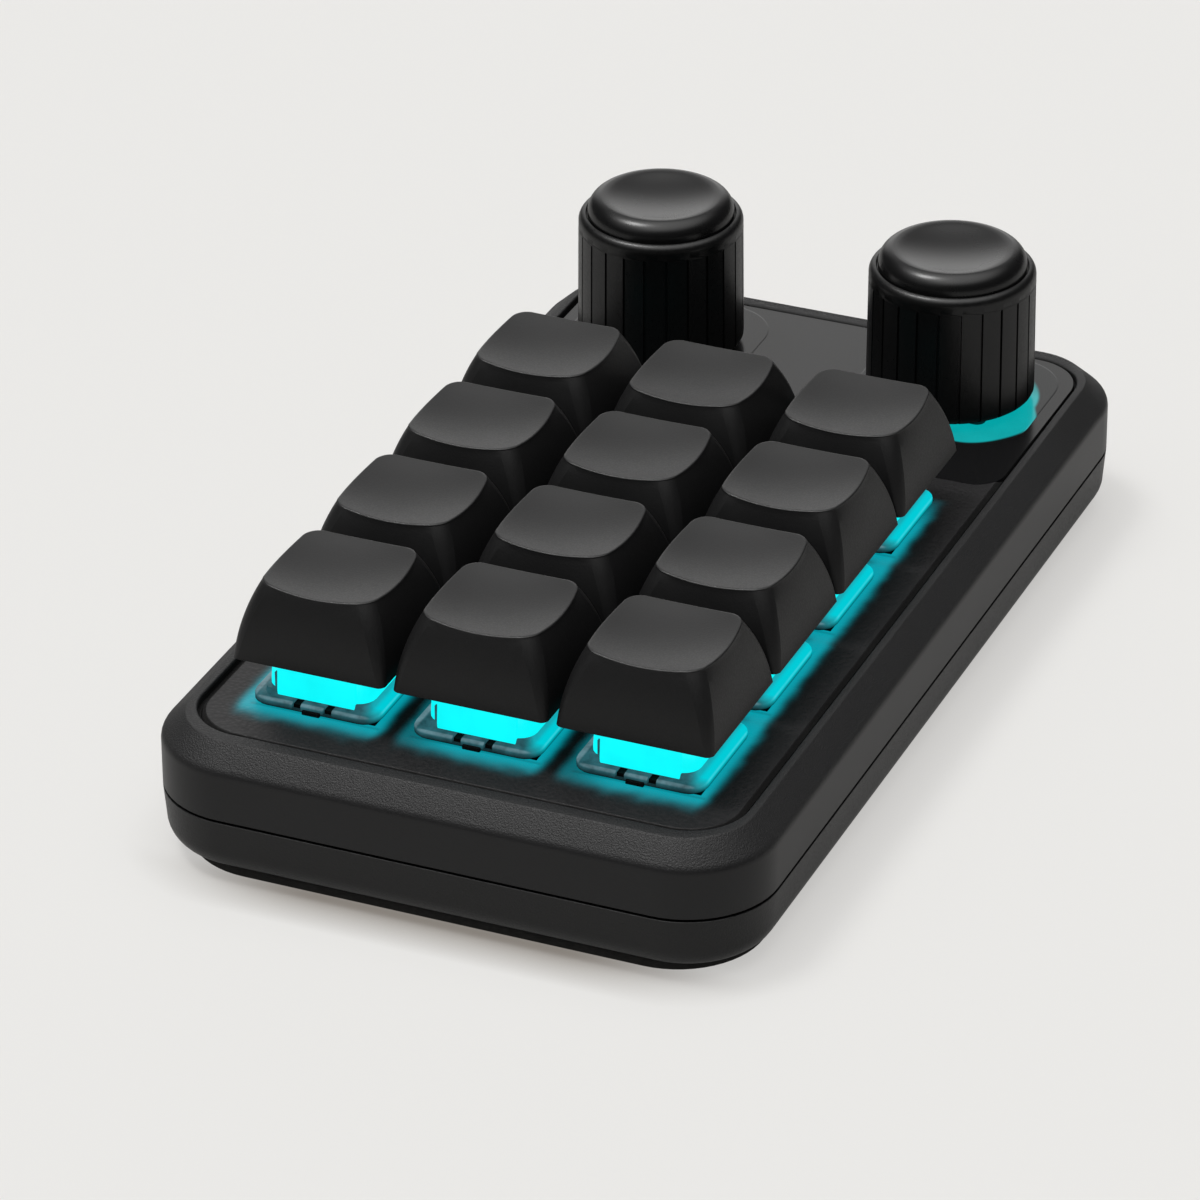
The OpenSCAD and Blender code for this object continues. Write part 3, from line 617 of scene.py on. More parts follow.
def smoky_finish():
    """Cloudy grey clear plastic round a lit switch, glowing unevenly, with a painted highlight on its rim and
    bright along its right side.
    """
    finish = Finish("smoky_clear", (0.012, 0.016, 0.018), 0.22, Specular_IOR_Level=0.2)
    n = finish.n
    cloud = finish.use_group(HANDLING, Cloud_size=0.0016, Amount=2.0)
    glow = finish.key_glow()
    z = finish.coordinates()["Z"]
    above_foot = n.map_range(z, (plate_z + 0.1) * MM, (plate_z + 0.8) * MM)
    near_top = n.map_range(z, (plate_z + 0.7) * MM, (plate_z + 0.9) * MM)
    right = glow["Right side"]
    cloudy = n.product(cloud.outputs["Tone"], above_foot)
    total = finish.scaled(FLANGE_LIT_SIDE, n.product(right, above_foot))
    # Glow over the flange, and a painted highlight along its rim near the top
    for colour, share in ((FLANGE_GLOW, n.product(cloudy, n.minus(1.0, right))),
                          (FLANGE_RIM_HIGHLIGHT, n.product(cloudy, glow["Rim highlight"], near_top))):
        add = n.add("ShaderNodeVectorMath", operation="ADD")
        n.join(total, add.inputs[0])
        n.join(finish.scaled(colour, share), add.inputs[1])
        total = add.outputs[0]
    finish.emit(total, finish.seen_share(0.05))
    return finish.material


MATERIALS = {
    "pad": plain_finish("pad_rubber", (0.013, 0.012, 0.011), 0.7, grain=(0.0006, 0.00008, 0.3)),
    "case_lower": shell_finish(),
    "case_upper": frame_finish(),
    "screws": plain_finish("screw_steel", (0.55, 0.55, 0.56), 0.35, Metallic=1.0),
    "plate": plate_finish(),
    "panel": plain_finish("panel_gloss", (0.008, 0.008, 0.0085), 0.2, amount=0.05),
    "board": plain_finish("board_mask", (0.01, 0.06, 0.03), 0.35),
    "chip": plain_finish("chip_resin", (0.02, 0.02, 0.02), 0.5),
    "usb": plain_finish("usb_plating", (0.62, 0.62, 0.63), 0.28, Metallic=1.0),
    "lamps": lit_finish("lamp", 2.0, 0.05),
    "sockets": plain_finish("socket_resin", (0.006, 0.008, 0.0085), 0.35),
    "switch_base": smoky_finish(),
    "switch_cover": lit_finish("lit_cover", 1.0, 0.06),
    "spring": plain_finish("spring_wire", (0.65, 0.65, 0.66), 0.3, Metallic=1.0),
    "stem": plain_finish("stem_resin", (0.35, 0.05, 0.04), 0.4),
    "keycap": keycap_finish(),
    "encoder": plain_finish("encoder_steel", (0.55, 0.55, 0.56), 0.35, Metallic=1.0),
    "light_dark": plain_finish("light_unlit", (0.008, 0.008, 0.0085), 0.2, amount=0.05),
    "light_lit": ring_light_finish(),
    "rotor": plain_finish("rotor_resin", (0.5, 0.45, 0.3), 0.4),
    "shaft": plain_finish("shaft_metal", (0.6, 0.6, 0.61), 0.3, Metallic=1.0),
    "knob": plain_finish("knob_resin", (0.006, 0.006, 0.0062), 0.32, grain=(0.0003, 0.00003, 0.15)),
    "knob_top": plain_finish("knob_top_resin", (0.007, 0.007, 0.0073), 0.27),
}


def dress_cad_nodes():
    """Gives every CAD node the material of its slot in the record."""
    slots = {row["node"]: row["material_slot"] for row in frame["record"]["subparts"]}
    for name, obj in frame["nodes"].items():
        obj.data.materials.clear()
        obj.data.materials.append(MATERIALS[slots[name]])


# ---- Keycaps ----

CAP_CORNER_STEPS = 8
CAP_SIDE_STEPS = 9
CAP_SIDE_LEVELS = 16
CAP_KINK = 16.0        # turn between a side and its corner facet, degrees
CAP_BOW = 0.45         # how far the middle of each side of the face bows out
CAP_BULGE = 1.6        # one is a straight side from base to face, more is a rounder one
CAP_CORNER_GROWTH = 0.6    # the same for the corners' radius
CAP_FACE_SHIFT = -0.1  # of the face, towards the front
CAP_FACE_W = 13.5
CAP_BASE_R = 0.9
CAP_FACE_R = 2.5
CAP_EDGE_R = 0.3
CAP_EDGE_SHARE = 0.7   # part of the edge's radius that lies inside the face's outline
CAP_EDGE_TUCK = 0.29   # and part of it by which the sides end short of that outline
CAP_FOOT = 0.12        # bevel of the lower edge
CAP_DISH_R = 30.0
CAP_WALL = 1.3
CAP_ROOF = 2.2
CAP_HOLLOW_R = 0.8


def dish(x, y):
    """Height of the dished face over its middle."""
    return (x * x + y * y) / (2 * CAP_DISH_R)


def cap_outline(half, r, bow=0.0):
    """Square with bowed sides, whose corners are round facets that meet the sides at a slight kink."""
    kink = math.radians(CAP_KINK)
    centre = half - r * math.cos(kink)
    reach = centre + r * math.sin(kink)
    points = []
    for quarter, (sx, sy) in enumerate(((1, 1), (-1, 1), (-1, -1), (1, -1))):
        for i in range(CAP_CORNER_STEPS + 1):
            turn = math.radians(90 * quarter + CAP_KINK + (90 - 2 * CAP_KINK) * i / CAP_CORNER_STEPS)
            points.append(Vector((sx * centre + r * math.cos(turn), sy * centre + r * math.sin(turn), 0)))
        to_side = Matrix.Rotation(math.radians(90 * quarter), 3, "Z")
        for i in range(1, CAP_SIDE_STEPS + 1):
            share = 2 * i / (CAP_SIDE_STEPS + 1) - 1
            points.append(to_side @ Vector((-reach * share, half + bow * (1 - share * share), 0)))
    return points


def keycap_shape(low, high):
    """One keycap about its own middle: lofted sides, a round edge, a dished face and a hollow."""
    base_half = (high.x - low.x) / 2
    face_half = CAP_FACE_W / 2
    corner = face_half - CAP_FACE_R + CAP_FACE_R / math.sqrt(2)
    face_z = high.z - dish(corner, corner)
    rings = []

    def ring(half, r, shift, height, bow=0.0):
        return [Vector((p.x, p.y + shift, height(p))) for p in cap_outline(half, r, bow)]

    # Hollow, from its roof down to the lower edge
    wide, narrow = base_half - CAP_WALL, face_half - 1.2
    for share in (1.0, 0.5, 0.0):
        z = low.z + (high.z - low.z - CAP_ROOF) * share
        rings.append(ring(wide + (narrow - wide) * share, CAP_HOLLOW_R, 0, lambda p: z))
    # Lower edge and sides
    rings.append(ring(base_half - CAP_FOOT, CAP_BASE_R, 0, lambda p: low.z))
    side_end = face_half + CAP_EDGE_TUCK * CAP_EDGE_R
    for i in range(CAP_SIDE_LEVELS + 1):
        s = i / CAP_SIDE_LEVELS
        half = base_half + (side_end - base_half) * s ** CAP_BULGE
        r = CAP_BASE_R + (CAP_FACE_R - CAP_BASE_R) * s ** CAP_CORNER_GROWTH
        rings.append(ring(half, r, CAP_FACE_SHIFT * s, lambda p: (
            low.z + CAP_FOOT * (1 - s) + (face_z + dish(p.x, p.y) - CAP_EDGE_R - low.z) * s), CAP_BOW * s))
    # Round edge
    for angle in range(26, 91, 8):
        turn = math.radians(angle)
        out = CAP_EDGE_R * (math.cos(turn) - CAP_EDGE_SHARE)
        drop = CAP_EDGE_R * (1 - math.sin(turn))
        rings.append(ring(face_half + out, CAP_FACE_R, CAP_FACE_SHIFT, lambda p: (
            face_z + dish(p.x, p.y) - drop), CAP_BOW))
    # Dished face
    edge = face_half - CAP_EDGE_SHARE * CAP_EDGE_R
    for share in (0.9, 0.75, 0.6, 0.45, 0.3, 0.15):
        inner = [p * share for p in cap_outline(edge, CAP_FACE_R, CAP_BOW)]
        rings.append([Vector((p.x, p.y + CAP_FACE_SHIFT, face_z + dish(p.x, p.y))) for p in inner])
    return loft(rings)


def build_keycaps():
    low, high = node_box("keycap_1")
    middle = Vector((*((low + high) / 2).xy, 0))
    for k, place in zip(KEY_NUMBERS, key_places):
        cap = moved(keycap_shape(low - middle, high - middle), place)
        piece(f"keycap_{k}_shell", cap, f"key_{k}", "keycap", replaces=[f"keycap_{k}"], smooth_angle=12)


# ---- Switches ----

FLANGE_W = 15.1
FLANGE_T = 1.0
FLANGE_R = 2.1
SWITCH_SHIFT = Vector((-0.35, 0, 0))      # play of the clipped-in switches
SWITCH_BODY_W = 13.9
SWITCH_DEPTH = 5.0
SWITCH_FLOOR_T = 0.4
SWITCH_TOP = 6.6
COVER_BASE_W = 12.4
COVER_TOP_X = 12.0
COVER_TOP_Y = 11.6
COVER_T = 0.8
COVER_R = 2.0
FRONT_PANEL_W = 9.4
STEM_HOLE_X = 7.8
STEM_HOLE_Y = 6.2
CORNER_RAISE = 0.6     # how far the cover's round corners stand off the flange
NOTCH_X = 1.85
NOTCH_W = 1.1
LATCH_W = 2.1


def square_ring(half, r, z, half_y=None):
    """A ring with round corners about the switch's middle, square if no second half width is given."""
    half_y = half_y or half
    return at_height(round_outline(-half, -half_y, half, half_y, r, 5), z)


def switch_base_shape():
    """Flange with a soft edge and two notches, over the hollow body that fills the plate's hole."""
    half = FLANGE_W / 2
    top = plate_z + FLANGE_T
    inside = COVER_BASE_W / 2 - COVER_T
    block = COVER_BASE_W / 2 + 0.1
    levels = ((half - 0.2, plate_z), (half, plate_z + 0.2), (half, top - 0.25), (half - 0.08, top - 0.08),
              (half - 0.25, top), (block, top), (block - 0.1, top + CORNER_RAISE),
              (inside, top + CORNER_RAISE), (inside, plate_z + 0.3))
    flange = loft([square_ring(h, max(FLANGE_R - (half - h), 0.4), z) for h, z in levels], closed=True)
    notches = [box_shape(x - NOTCH_W / 2, -half - 1, plate_z + 0.25, x + NOTCH_W / 2, -inside - 0.3, top + 1)
               for x in (-NOTCH_X, NOTCH_X)]
    base = carved(flange, notches)
    outside, floor, body_top = SWITCH_BODY_W / 2, plate_z - SWITCH_DEPTH, plate_z - 0.02
    cup = ((outside, floor), (outside, body_top), (inside, body_top), (inside, floor + SWITCH_FLOOR_T))
    gap_x, gap_y = -FRONT_PANEL_W / 2, 0.05 - COVER_BASE_W / 2
    for extra in (loft([square_ring(h, 0.4, z) for h, z in cup]),
                  box_shape(gap_x - 0.25, gap_y, top + 0.1, gap_x, gap_y + 0.95, top + 2.6)):
        add_copy(base, extra, Vector())
        extra.free()
    return base


def switch_latch_and_notch_shade_shape():
    """Dark latch under the flange's tab, and dark blocks in the notches as their painted shade."""
    half = FLANGE_W / 2
    dark = box_shape(-LATCH_W / 2, -half - 0.35, plate_z, LATCH_W / 2, -half + 0.3, plate_z + 0.5, 0.1)
    # Painted shade: dark blocks fill the notches' depth, where there is only shadow
    for x in (-NOTCH_X, NOTCH_X):
        extra = box_shape(x - 0.5, -half + 0.5, plate_z + 0.1, x + 0.5, -half + 1.6, plate_z + FLANGE_T - 0.3)
        add_copy(dark, extra, Vector())
        extra.free()
    return dark


def switch_cover_shape():
    """Tapered cover with raised round corners and a flat front panel, open at the top for the stem."""
    base, top_x, top_y = COVER_BASE_W / 2, COVER_TOP_X / 2, COVER_TOP_Y / 2
    low_z, high_z = plate_z + FLANGE_T, plate_z + SWITCH_TOP
    foot_z, ceiling = low_z + CORNER_RAISE, high_z - COVER_T
    hole_x, hole_y = STEM_HOLE_X / 2, STEM_HOLE_Y / 2
    levels = ((base, base - 0.2, foot_z, COVER_R), (base, base - 0.2, foot_z + 0.3, COVER_R),
              (top_x, top_y, high_z - 0.4, COVER_R), (top_x - 0.3, top_y - 0.3, high_z, COVER_R - 0.3),
              (hole_x, hole_y, high_z, 0.3), (hole_x, hole_y, ceiling, 0.3),
              (top_x - COVER_T, top_y - COVER_T, ceiling, 1.0), (base - COVER_T, base - COVER_T, foot_z, 1.0))
    cover = loft([square_ring(x, r, z, half_y=y) for x, y, z, r in levels], closed=True)
    panel = FRONT_PANEL_W / 2
    front = loft([at_height(round_outline(-panel, -base - out, panel, -base + 0.9, 0.15, 3), z)
                  for out, z in ((0.1, low_z), (0.08, low_z + 0.6), (-0.2, high_z - 1.0))])
    add_copy(cover, front, Vector())
    front.free()
    return cover


def build_switches():
    for name, shape, slot, replaced in (
            ("switch_bases_clear", switch_base_shape, "switch_base", ["switch_bases"]),
            ("switch_covers_clear", switch_cover_shape, "switch_cover", ["switch_covers"]),
            ("switch_latches_and_notch_shade", switch_latch_and_notch_shade_shape, "sockets", [])):
        one = shape()
        every = bmesh.new()
        for place in key_places:
            add_copy(every, one, Vector((place.x, place.y, 0)) + SWITCH_SHIFT)
        one.free()
        piece(name, every, "case", slot, replaces=replaced)


# ---- Case ----

CASE_CORNER_STEPS = 14
CASE_WALL = 2.2
SEAM_GAP = 0.2
SEAM_EDGE = 0.06       # bevel of the top frame's lower edge
CHAMFER_W = 2.75
SOFT_R = 1.6           # the round between the side wall and the sloping edge
RIM_EDGE_R = 0.35      # and between that edge and the rim
GROOVE_W = 0.5         # the groove round the plate
GROOVE_LIP_R = 0.25
BACK_GROOVE_W = 0.15   # the same groove behind the panel
BACK_SLOPE = 4         # length over which the rim comes down to the panel
GROOVE_DEPTH_Z = 1.0
LEDGE = 1.2
LIP_H = 1.1
LIP_T = 0.9
BELLY_R = 3.0          # the shell's round lower edge
SHELL_FLOOR_T = 2
SHELL_LEAN = 0.3
PAD_OUT = 0.4          # how far the pad's soft edge swells past its solid
PAD_R = 10.0
PORT_W = 9.44
PORT_H = 3.7


def case_ring(inset, z, front_extra=0.0, back_extra=0.0):
    """The case's outline at one height, a little way in from its sides."""
    points = round_outline(
        case_low.x + inset, case_low.y + inset + front_extra,
        case_high.x - inset, case_high.y - inset - back_extra,
        CASE_R - inset, CASE_CORNER_STEPS)
    return at_height(points, z)


def port_cutter():
    """The shape of the socket's opening, standing through the back wall."""
    low, high = node_box("usb_socket")
    middle = (low + high) / 2
    outline = round_outline(-PORT_W / 2, -PORT_H / 2, PORT_W / 2, PORT_H / 2, PORT_H / 2 - 0.01, 8)
    cutter = loft([at_height(outline, -8), at_height(outline, 8)])
    turn = Matrix.Rotation(math.pi / 2, 3, "X")
    bmesh.ops.rotate(cutter, verts=cutter.verts, cent=(0, 0, 0), matrix=turn)
    bmesh.ops.translate(cutter, verts=cutter.verts, vec=(middle.x, case_high.y, middle.z))
    return cutter


def build_top_frame():
    """Upper part of the case: side wall, soft sloping edge, flat rim, groove and the plate's seat."""
    rim = case_high.z
    seam = case_low.z + 0.05
    plate_inset = case_high.x - plate_high.x
    front = (plate_low.y - case_low.y) - plate_inset
    groove = plate_inset - GROOVE_W
    under = plate_low.z
    slope = math.degrees(math.atan2(CHAMFER_H, CHAMFER_W))
    soft_back = SOFT_R * math.tan(math.radians((90 - slope) / 2))
    outer = [(SEAM_EDGE, seam), (0.0, seam + SEAM_EDGE), (0.0, seam + 2.0)]
    outer += arc(SOFT_R, rim - CHAMFER_H - soft_back, SOFT_R, 180, 90 + slope, 8)
    edge_back = RIM_EDGE_R * math.tan(math.radians(slope / 2))
    outer += arc(CHAMFER_W + edge_back, rim - RIM_EDGE_R, RIM_EDGE_R, 90 + slope, 90, 4)
    lip = arc(groove - GROOVE_LIP_R, rim - GROOVE_LIP_R, GROOVE_LIP_R, 90, 0, 4)
    inner = [(plate_inset - 0.1, rim - GROOVE_DEPTH_Z), (plate_inset - 0.1, under),
             (plate_inset + LEDGE, under), (plate_inset + LEDGE, under - LEDGE)]
    inside = [(CASE_WALL, under - LEDGE), (CASE_WALL, seam + LIP_H),
              (CASE_WALL - 1, seam + LIP_H), (CASE_WALL - 1, seam)]
    back_extra = GROOVE_W - BACK_GROOVE_W
    lip_rings = [case_ring(inset, z, front, back_extra) for inset, z in lip]
    # Behind the panel the rim's inner edge comes down to it
    for ring in lip_rings:
        for point in ring:
            share = min(max((point.y - (case_high.y - 2 * BACK_SLOPE)) / BACK_SLOPE, 0), 1)
            point.z -= (rim - plate_z - 0.02) * share * share * (3 - 2 * share)
    rings = [case_ring(inset, z) for inset, z in outer] + lip_rings
    rings.append(case_ring(groove, rim - GROOVE_DEPTH_Z, front, back_extra))
    rings += [case_ring(inset, z, front) for inset, z in inner]
    rings += [case_ring(inset, z) for inset, z in inside]
    frame_shape = carved(loft(rings, closed=True), [port_cutter()])
    piece("top_frame_shell", frame_shape, "case", "case_upper", replaces=["top_frame"], smooth_angle=40)


def build_bottom_shell():
    """Lower part of the case: a tray with a round lower edge, and a lip inside the top frame."""
    low, high = node_box("bottom_shell")
    seam = case_low.z - SEAM_GAP - 0.05
    floor_top = node_box("base_pad")[1].z + SHELL_FLOOR_T
    outer = arc(SHELL_LEAN + BELLY_R, low.z + BELLY_R, BELLY_R, 270, 180, 12)
    outer += [(0.0, seam - 0.05), (0.05, seam), (CASE_WALL - LIP_T, seam), (CASE_WALL - LIP_T, high.z),
              (CASE_WALL, high.z), (CASE_WALL, floor_top)]
    shell = carved(loft([case_ring(inset, z) for inset, z in outer]), [port_cutter()])
    piece("bottom_shell_tray", shell, "case", "case_lower", replaces=["bottom_shell"], smooth_angle=40)


def build_base_pad():
    """Soft pad under the shell, with a round lower edge."""
    low, high = node_box("base_pad")
    levels = ((0.3, low.z), (0.1, low.z + 0.08), (0.0, low.z + 0.3),
              (0.0, high.z - 0.3), (0.1, high.z - 0.15))
    rings = []
    for inset, z in levels:
        out = PAD_OUT - inset
        outline = round_outline(low.x - out, low.y - out, high.x + out, high.y + out,
                                PAD_R - inset, CASE_CORNER_STEPS)
        rings.append(at_height(outline, z))
    piece("base_pad_rubber", loft(rings), "case", "pad", replaces=["base_pad"], smooth_angle=40)


# ---- Knobs ----

RIB_COUNT = 24
RIB_PHASE = 11.0           # turn of the first groove, degrees
GROOVE_HALF = 0.9          # half width of a groove, degrees
GROOVE_DEPTH = 0.3
RIB_FLATNESS = 0.35        # one is a flat rib, zero follows the barrel's round
BARREL_TAPER = 0.015
BARREL_STEPS = 10
BARREL_WALL = 1.4
BARREL_FOOT_R = 0.8
BARREL_SHOULDER_R = 1.0
SHOULDER_H = 1.9           # from the ribs' upper end to the barrel's top
BORE_R = 3.2
ROOF_DROP = 3.4            # from the top to the roof over the barrel's hollow
SEAT_W = 1.1               # the rim round the cap's seat
SEAT_DROP = 0.35
SEAT_EDGE = 0.12
# Stations across one rib and its groove: turn from the groove's middle, and share of the groove's depth
RIB_STATIONS = ((0, 1), (0.6, 1), (0.9, 0), (4.2, 0), (7.5, 0), (10.8, 0), (14.1, 0), (14.4, 1))

KNOB_CAP_SWELL = 0.08      # how far the cap's round edge swells past its solid
KNOB_CAP_EDGE_R = 2.0
KNOB_CAP_DISH = 0.9        # depth of its dished top
KNOB_CAP_RINGS = 12


def rib_radius(radius, turn, cut):
    """Radius of a slightly flattened rib between its two grooves."""
    middle = 180 / RIB_COUNT
    edge = math.cos(math.radians(middle - GROOVE_HALF))
    flat = 1 - RIB_FLATNESS * (1 - edge / math.cos(math.radians(turn - middle)))
    return radius * flat - GROOVE_DEPTH if cut else radius * flat


def knob_barrel_shape(low, high):
    """Ribbed barrel: a turned profile whose ribs are pressed in afterwards."""
    outer = (high.x - low.x) / 2
    seat = outer - SEAT_W
    inner = outer - BARREL_WALL
    bottom, top = low.z, high.z
    ribs_top = top - SHOULDER_H
    profile = [(BORE_R, top - ROOF_DROP), (inner, top - ROOF_DROP), (inner, bottom),
               (outer - BARREL_FOOT_R, bottom)]
    profile += arc(outer - BARREL_FOOT_R, bottom + BARREL_FOOT_R, BARREL_FOOT_R, -75, 0, 5)
    side_low, side_high = bottom + 1.0, ribs_top - 0.4
    side_step = (side_high - side_low) / BARREL_STEPS
    profile += [(outer, side_low + side_step * i) for i in range(BARREL_STEPS + 1)]
    profile += [(outer, ribs_top - 0.15), (outer, ribs_top), (outer, ribs_top + 0.25)]
    profile += arc(outer - BARREL_SHOULDER_R, top - BARREL_SHOULDER_R, BARREL_SHOULDER_R, 0, 80, 8)
    profile += [(seat + SEAT_EDGE, top), (seat, top - SEAT_EDGE), (seat, top - SEAT_DROP),
                (BORE_R, top - SEAT_DROP)]
    steps = RIB_COUNT * len(RIB_STATIONS)
    bm = turned(profile, steps)
    for vert in bm.verts:
        radius = vert.co.xy.length
        if radius < outer - 0.6 or vert.co.z > ribs_top + 0.01:
            # The shoulder takes the taper that the barrel has at its top
            if radius > seat - 0.01 and vert.co.z > ribs_top:
                vert.co.xy *= 1 - BARREL_TAPER * (radius - seat) / (outer - seat)
            continue
        index = round(math.degrees(math.atan2(vert.co.y, vert.co.x)) % 360 / (360 / steps)) % steps
        rib, place = divmod(index, len(RIB_STATIONS))
        turn, cut = RIB_STATIONS[place]
        angle = math.radians(rib * 360 / RIB_COUNT + turn + RIB_PHASE)
        if vert.co.z < ribs_top - 0.05:
            radius = rib_radius(radius, turn, cut)
        radius *= 1 - BARREL_TAPER * (vert.co.z - bottom) / (top - bottom)
        vert.co.x = radius * math.cos(angle)
        vert.co.y = radius * math.sin(angle)
    return bm


def knob_cap_shape(low, high):
    """Dished cap with a full round edge."""
    outer = (high.x - low.x) / 2 + KNOB_CAP_SWELL
    rim = outer - KNOB_CAP_EDGE_R
    edge_z = high.z - KNOB_CAP_EDGE_R
    middle_z = high.z - KNOB_CAP_DISH
    dish_r = (rim * rim + KNOB_CAP_DISH ** 2) / (2 * KNOB_CAP_DISH)
    profile = [(0, low.z), (outer - 0.1, low.z), (outer, low.z + 0.1), (outer, edge_z - 0.1)]
    profile += arc(rim, edge_z, KNOB_CAP_EDGE_R, 0, 84, 12)
    for i in range(1, KNOB_CAP_RINGS):
        r = rim * (1 - i / KNOB_CAP_RINGS)
        profile.append((r, middle_z + dish_r - math.sqrt(dish_r ** 2 - r * r)))
    profile.append((0, middle_z))
    return turned(profile, 96)


LIGHT_HALF = 11.2          # half width of the frame round a knob's foot
LIGHT_R = 6.4
LIGHT_OPENING = 6.4
LIGHT_LIP = 0.35           # the thin lip that hides the gap to the panel


def light_frame_shape():
    """The frame round a knob's foot, level with the panel."""
    low_z = node_box("knob_light_right")[0].z
    top = plate_z + 0.03
    lip = LIGHT_HALF + LIGHT_LIP
    levels = ((LIGHT_HALF, low_z, LIGHT_R), (LIGHT_HALF, top - 0.03, LIGHT_R),
              (lip, top - 0.02, LIGHT_R + LIGHT_LIP), (lip - 0.15, top, LIGHT_R + LIGHT_LIP - 0.15),
              (LIGHT_OPENING, top, 1.0), (LIGHT_OPENING, low_z, 1.0))
    rings = [at_height(round_outline(-half, -half, half, half, r, 16), z) for half, z, r in levels]
    return loft(rings, closed=True)


def build_light_frames():
    for side, slot, place in zip(SIDES, ("light_dark", "light_lit"), knob_places):
        piece(f"knob_light_{side}_frame", moved(light_frame_shape(), place), "case", slot,
              replaces=[f"knob_light_{side}"], smooth_angle=3)


def build_knobs():
    for side, place in zip(SIDES, knob_places):
        for node, shape, slot in ((f"knob_barrel_{side}", knob_barrel_shape, "knob"),
                                  (f"knob_cap_{side}", knob_cap_shape, "knob_top")):
            piece(f"{node}_shell", moved(shape(*node_box(node)), place), f"knob_{side}", slot,
                  replaces=[node], smooth_angle=40)


# ---- Stage: floor, light and camera ----

VIEW_AZIMUTH = -23.096     # camera's heading, degrees from +Y, negative to the left
VIEW_ELEVATION = 29.405    # camera's height above the horizon, degrees
VIEW_ROLL = -0.343         # camera's tilt about its own axis, degrees
VIEW_TARGET = (-1.134, -13.556, 15.0)
VIEW_DISTANCE = 733.8
VIEW_LENS = 196.07         # for a 36 mm wide picture
PAPER_TONE = (0.815, 0.807, 0.791)
PAPER_SHARE_LIT = 0.30     # part of the paper's brightness that takes the studio's light and shadow
PAPER_OWN = 0.688          # the rest, as the camera sees it
PAPER_OWN_ELSEWHERE = 0.21  # the rest, as mirrored by the case and falling on it
CONTACT_TONE = (0.20, 0.165, 0.13)
CONTACT_REACH = 0.006      # of the shadow where the case touches the paper, in metres
CONTACT_CURVE = 2.0        # how quickly the contact shadow fades
CONTACT_BESIDE = 0.3       # its strength beside the case, where it is one in front


def build_camera():
    data = bpy.data.cameras.new("view")
    data.sensor_width = 36
    data.lens = VIEW_LENS
    data.clip_start = 0.01
    camera = bpy.data.objects.new("view", data)
    turn = (Matrix.Rotation(math.radians(-VIEW_AZIMUTH), 4, "Z")
            @ Matrix.Rotation(math.radians(90 - VIEW_ELEVATION), 4, "X")
            @ Matrix.Rotation(math.radians(VIEW_ROLL), 4, "Z"))
    back = turn.to_3x3() @ Vector((0, 0, 1))
    camera.matrix_world = Matrix.Translation((Vector(VIEW_TARGET) + back * VIEW_DISTANCE) * MM) @ turn
    bpy.context.scene.collection.objects.link(camera)
    bpy.context.scene.camera = camera


# Soft lights of the studio: direction, inner and outer half angle in degrees, and strength
SOFT_LIGHTS = (
    ((0.0, 0.0, 1.0), 10, 50, 1.832),
    ((-0.342, -0.413, 0.844), 10, 40, 0.441),
    ((-0.342, 0.801, 0.491), 8, 34, 0.229),
    ((-0.38, 0.90, 0.14), 4, 29, 1.05),
    ((-0.36, -0.06, 0.93), 4, 11, 17.5),
)
ROOM_LIGHT = 0.023


def build_world():
    world = bpy.data.worlds.new("studio")
    bpy.context.scene.world = world
    world.use_nodes = True
    n = Nodes(world.node_tree)
    background = world.node_tree.nodes["Background"]
    direction = n.add("ShaderNodeTexCoord").outputs["Generated"]
    total = None
    for aim, inner, outer, strength in SOFT_LIGHTS:
        dot = n.add("ShaderNodeVectorMath", operation="DOT_PRODUCT")
        n.join(direction, dot.inputs[0])
        dot.inputs[1].default_value = Vector(aim).normalized()
        border = (math.cos(math.radians(angle)) for angle in (outer, inner))
        lobe = n.map_range(dot.outputs["Value"], *border, 0.0, strength, smooth=True)
        total = lobe if total is None else n.plus(total, lobe)
    total = n.plus(total, ROOM_LIGHT)
    n.join(total, background.inputs["Strength"])
    background.inputs["Color"].default_value = (1, 0.995, 0.985, 1)


def paper(colour, factor):
    """A colour times a factor, as a colour socket takes it."""
    return (*(channel * factor for channel in colour), 1)


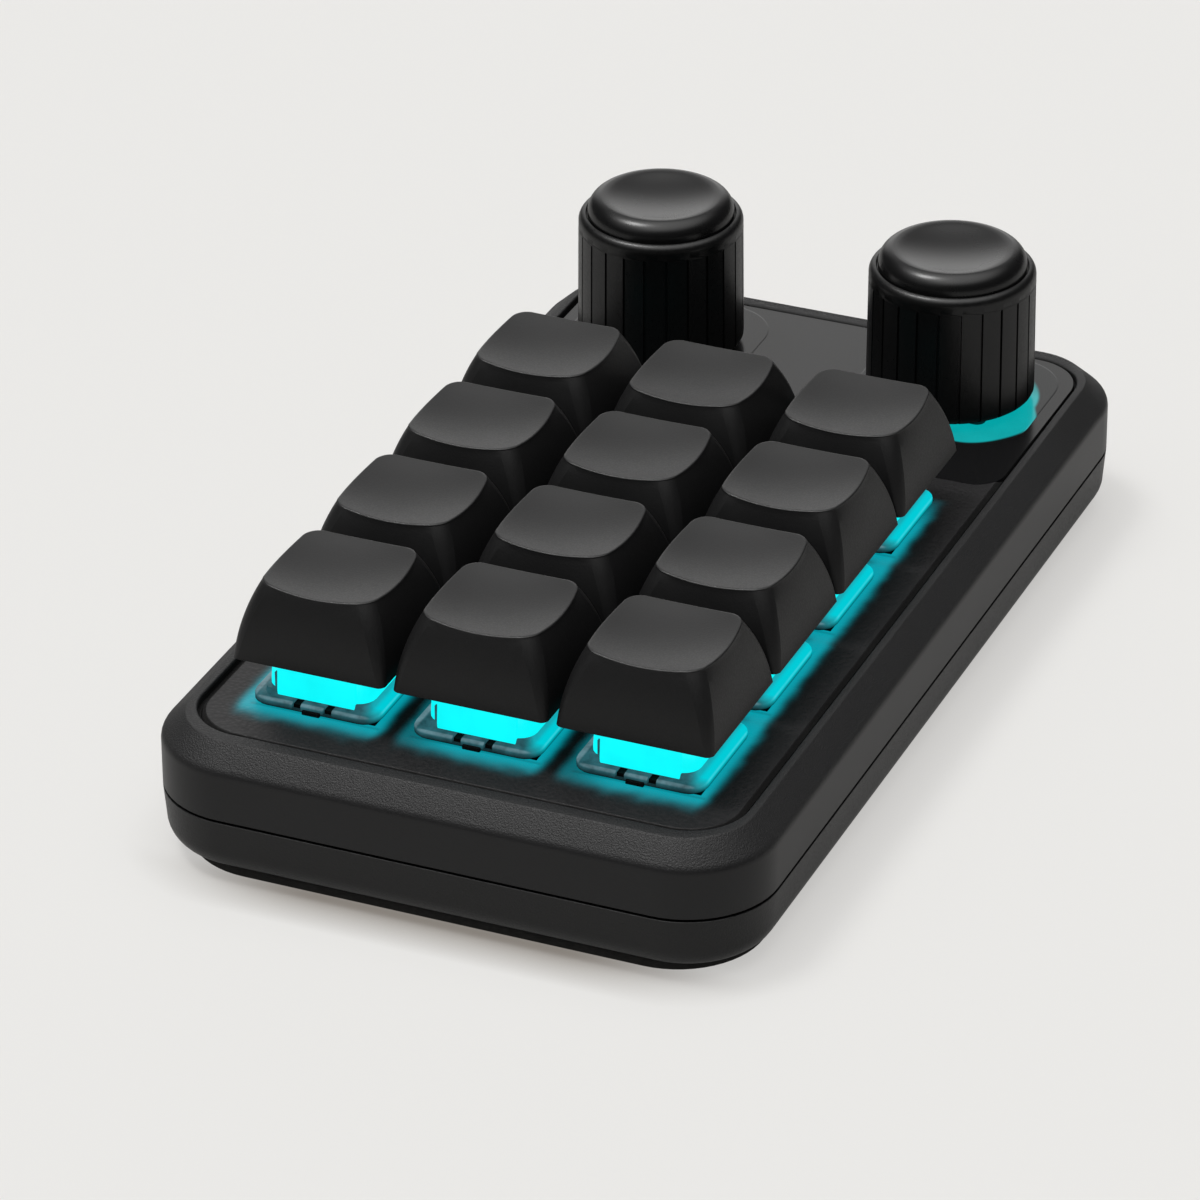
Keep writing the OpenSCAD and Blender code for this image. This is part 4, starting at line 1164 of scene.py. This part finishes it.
def build_floor():
    """White paper: it glows a little by itself, takes soft shadows, and darkens where the case touches it."""
    bm = bmesh.new()
    bmesh.ops.create_grid(bm, x_segments=1, y_segments=1, size=3)
    mesh = bpy.data.meshes.new("floor")
    bm.to_mesh(mesh)
    bm.free()
    floor = bpy.data.objects.new("floor", mesh)
    bpy.context.scene.collection.objects.link(floor)
    material = bpy.data.materials.new("floor_paper")
    material.use_nodes = True
    tree = material.node_tree
    tree.nodes.remove(tree.nodes["Principled BSDF"])
    n = Nodes(tree)
    near = n.add("ShaderNodeAmbientOcclusion")
    near.inputs["Distance"].default_value = CONTACT_REACH
    shade = n.add("ShaderNodeMix", data_type="RGBA")
    shade.inputs["A"].default_value = paper(CONTACT_TONE, PAPER_OWN)
    shade.inputs["B"].default_value = paper(PAPER_TONE, PAPER_OWN)
    at = n.add("ShaderNodeSeparateXYZ")
    n.join(n.add("ShaderNodeTexCoord").outputs["Object"], at.inputs[0])
    in_front = n.map_range(at.outputs["Y"], (case_low.y + 1) * MM, (case_low.y + 5) * MM,
                           1.0, CONTACT_BESIDE, smooth=True)
    inwards = n.map_range(n.maths("ABSOLUTE", at.outputs["X"]), (case_high.x - 22) * MM,
                          (case_high.x - 2) * MM, 1.0, CONTACT_BESIDE, smooth=True)
    contact = n.minus(1.0, n.maths("POWER", near.outputs["AO"], CONTACT_CURVE))
    n.join(n.minus(1.0, n.product(contact, in_front, inwards)), shade.inputs["Factor"])
    by_ray = n.add("ShaderNodeMix", data_type="RGBA")
    by_ray.inputs["A"].default_value = paper(PAPER_TONE, PAPER_OWN_ELSEWHERE)
    n.join(shade.outputs["Result"], by_ray.inputs["B"])
    n.join(n.add("ShaderNodeLightPath").outputs["Is Camera Ray"], by_ray.inputs["Factor"])
    own = n.add("ShaderNodeEmission")
    n.join(by_ray.outputs["Result"], own.inputs["Color"])
    lit = n.add("ShaderNodeBsdfDiffuse")
    lit.inputs["Color"].default_value = paper(PAPER_TONE, PAPER_SHARE_LIT)
    both = n.add("ShaderNodeAddShader")
    n.join(own.outputs[0], both.inputs[0])
    n.join(lit.outputs[0], both.inputs[1])
    n.join(both.outputs[0], tree.nodes["Material Output"].inputs["Surface"])
    mesh.materials.append(material)


dress_cad_nodes()
build_keycaps()
build_switches()
build_top_frame()
build_bottom_shell()
build_base_pad()
build_light_frames()
build_knobs()
build_floor()
build_world()
build_camera()
bpy.context.scene.view_settings.view_transform = "Standard"
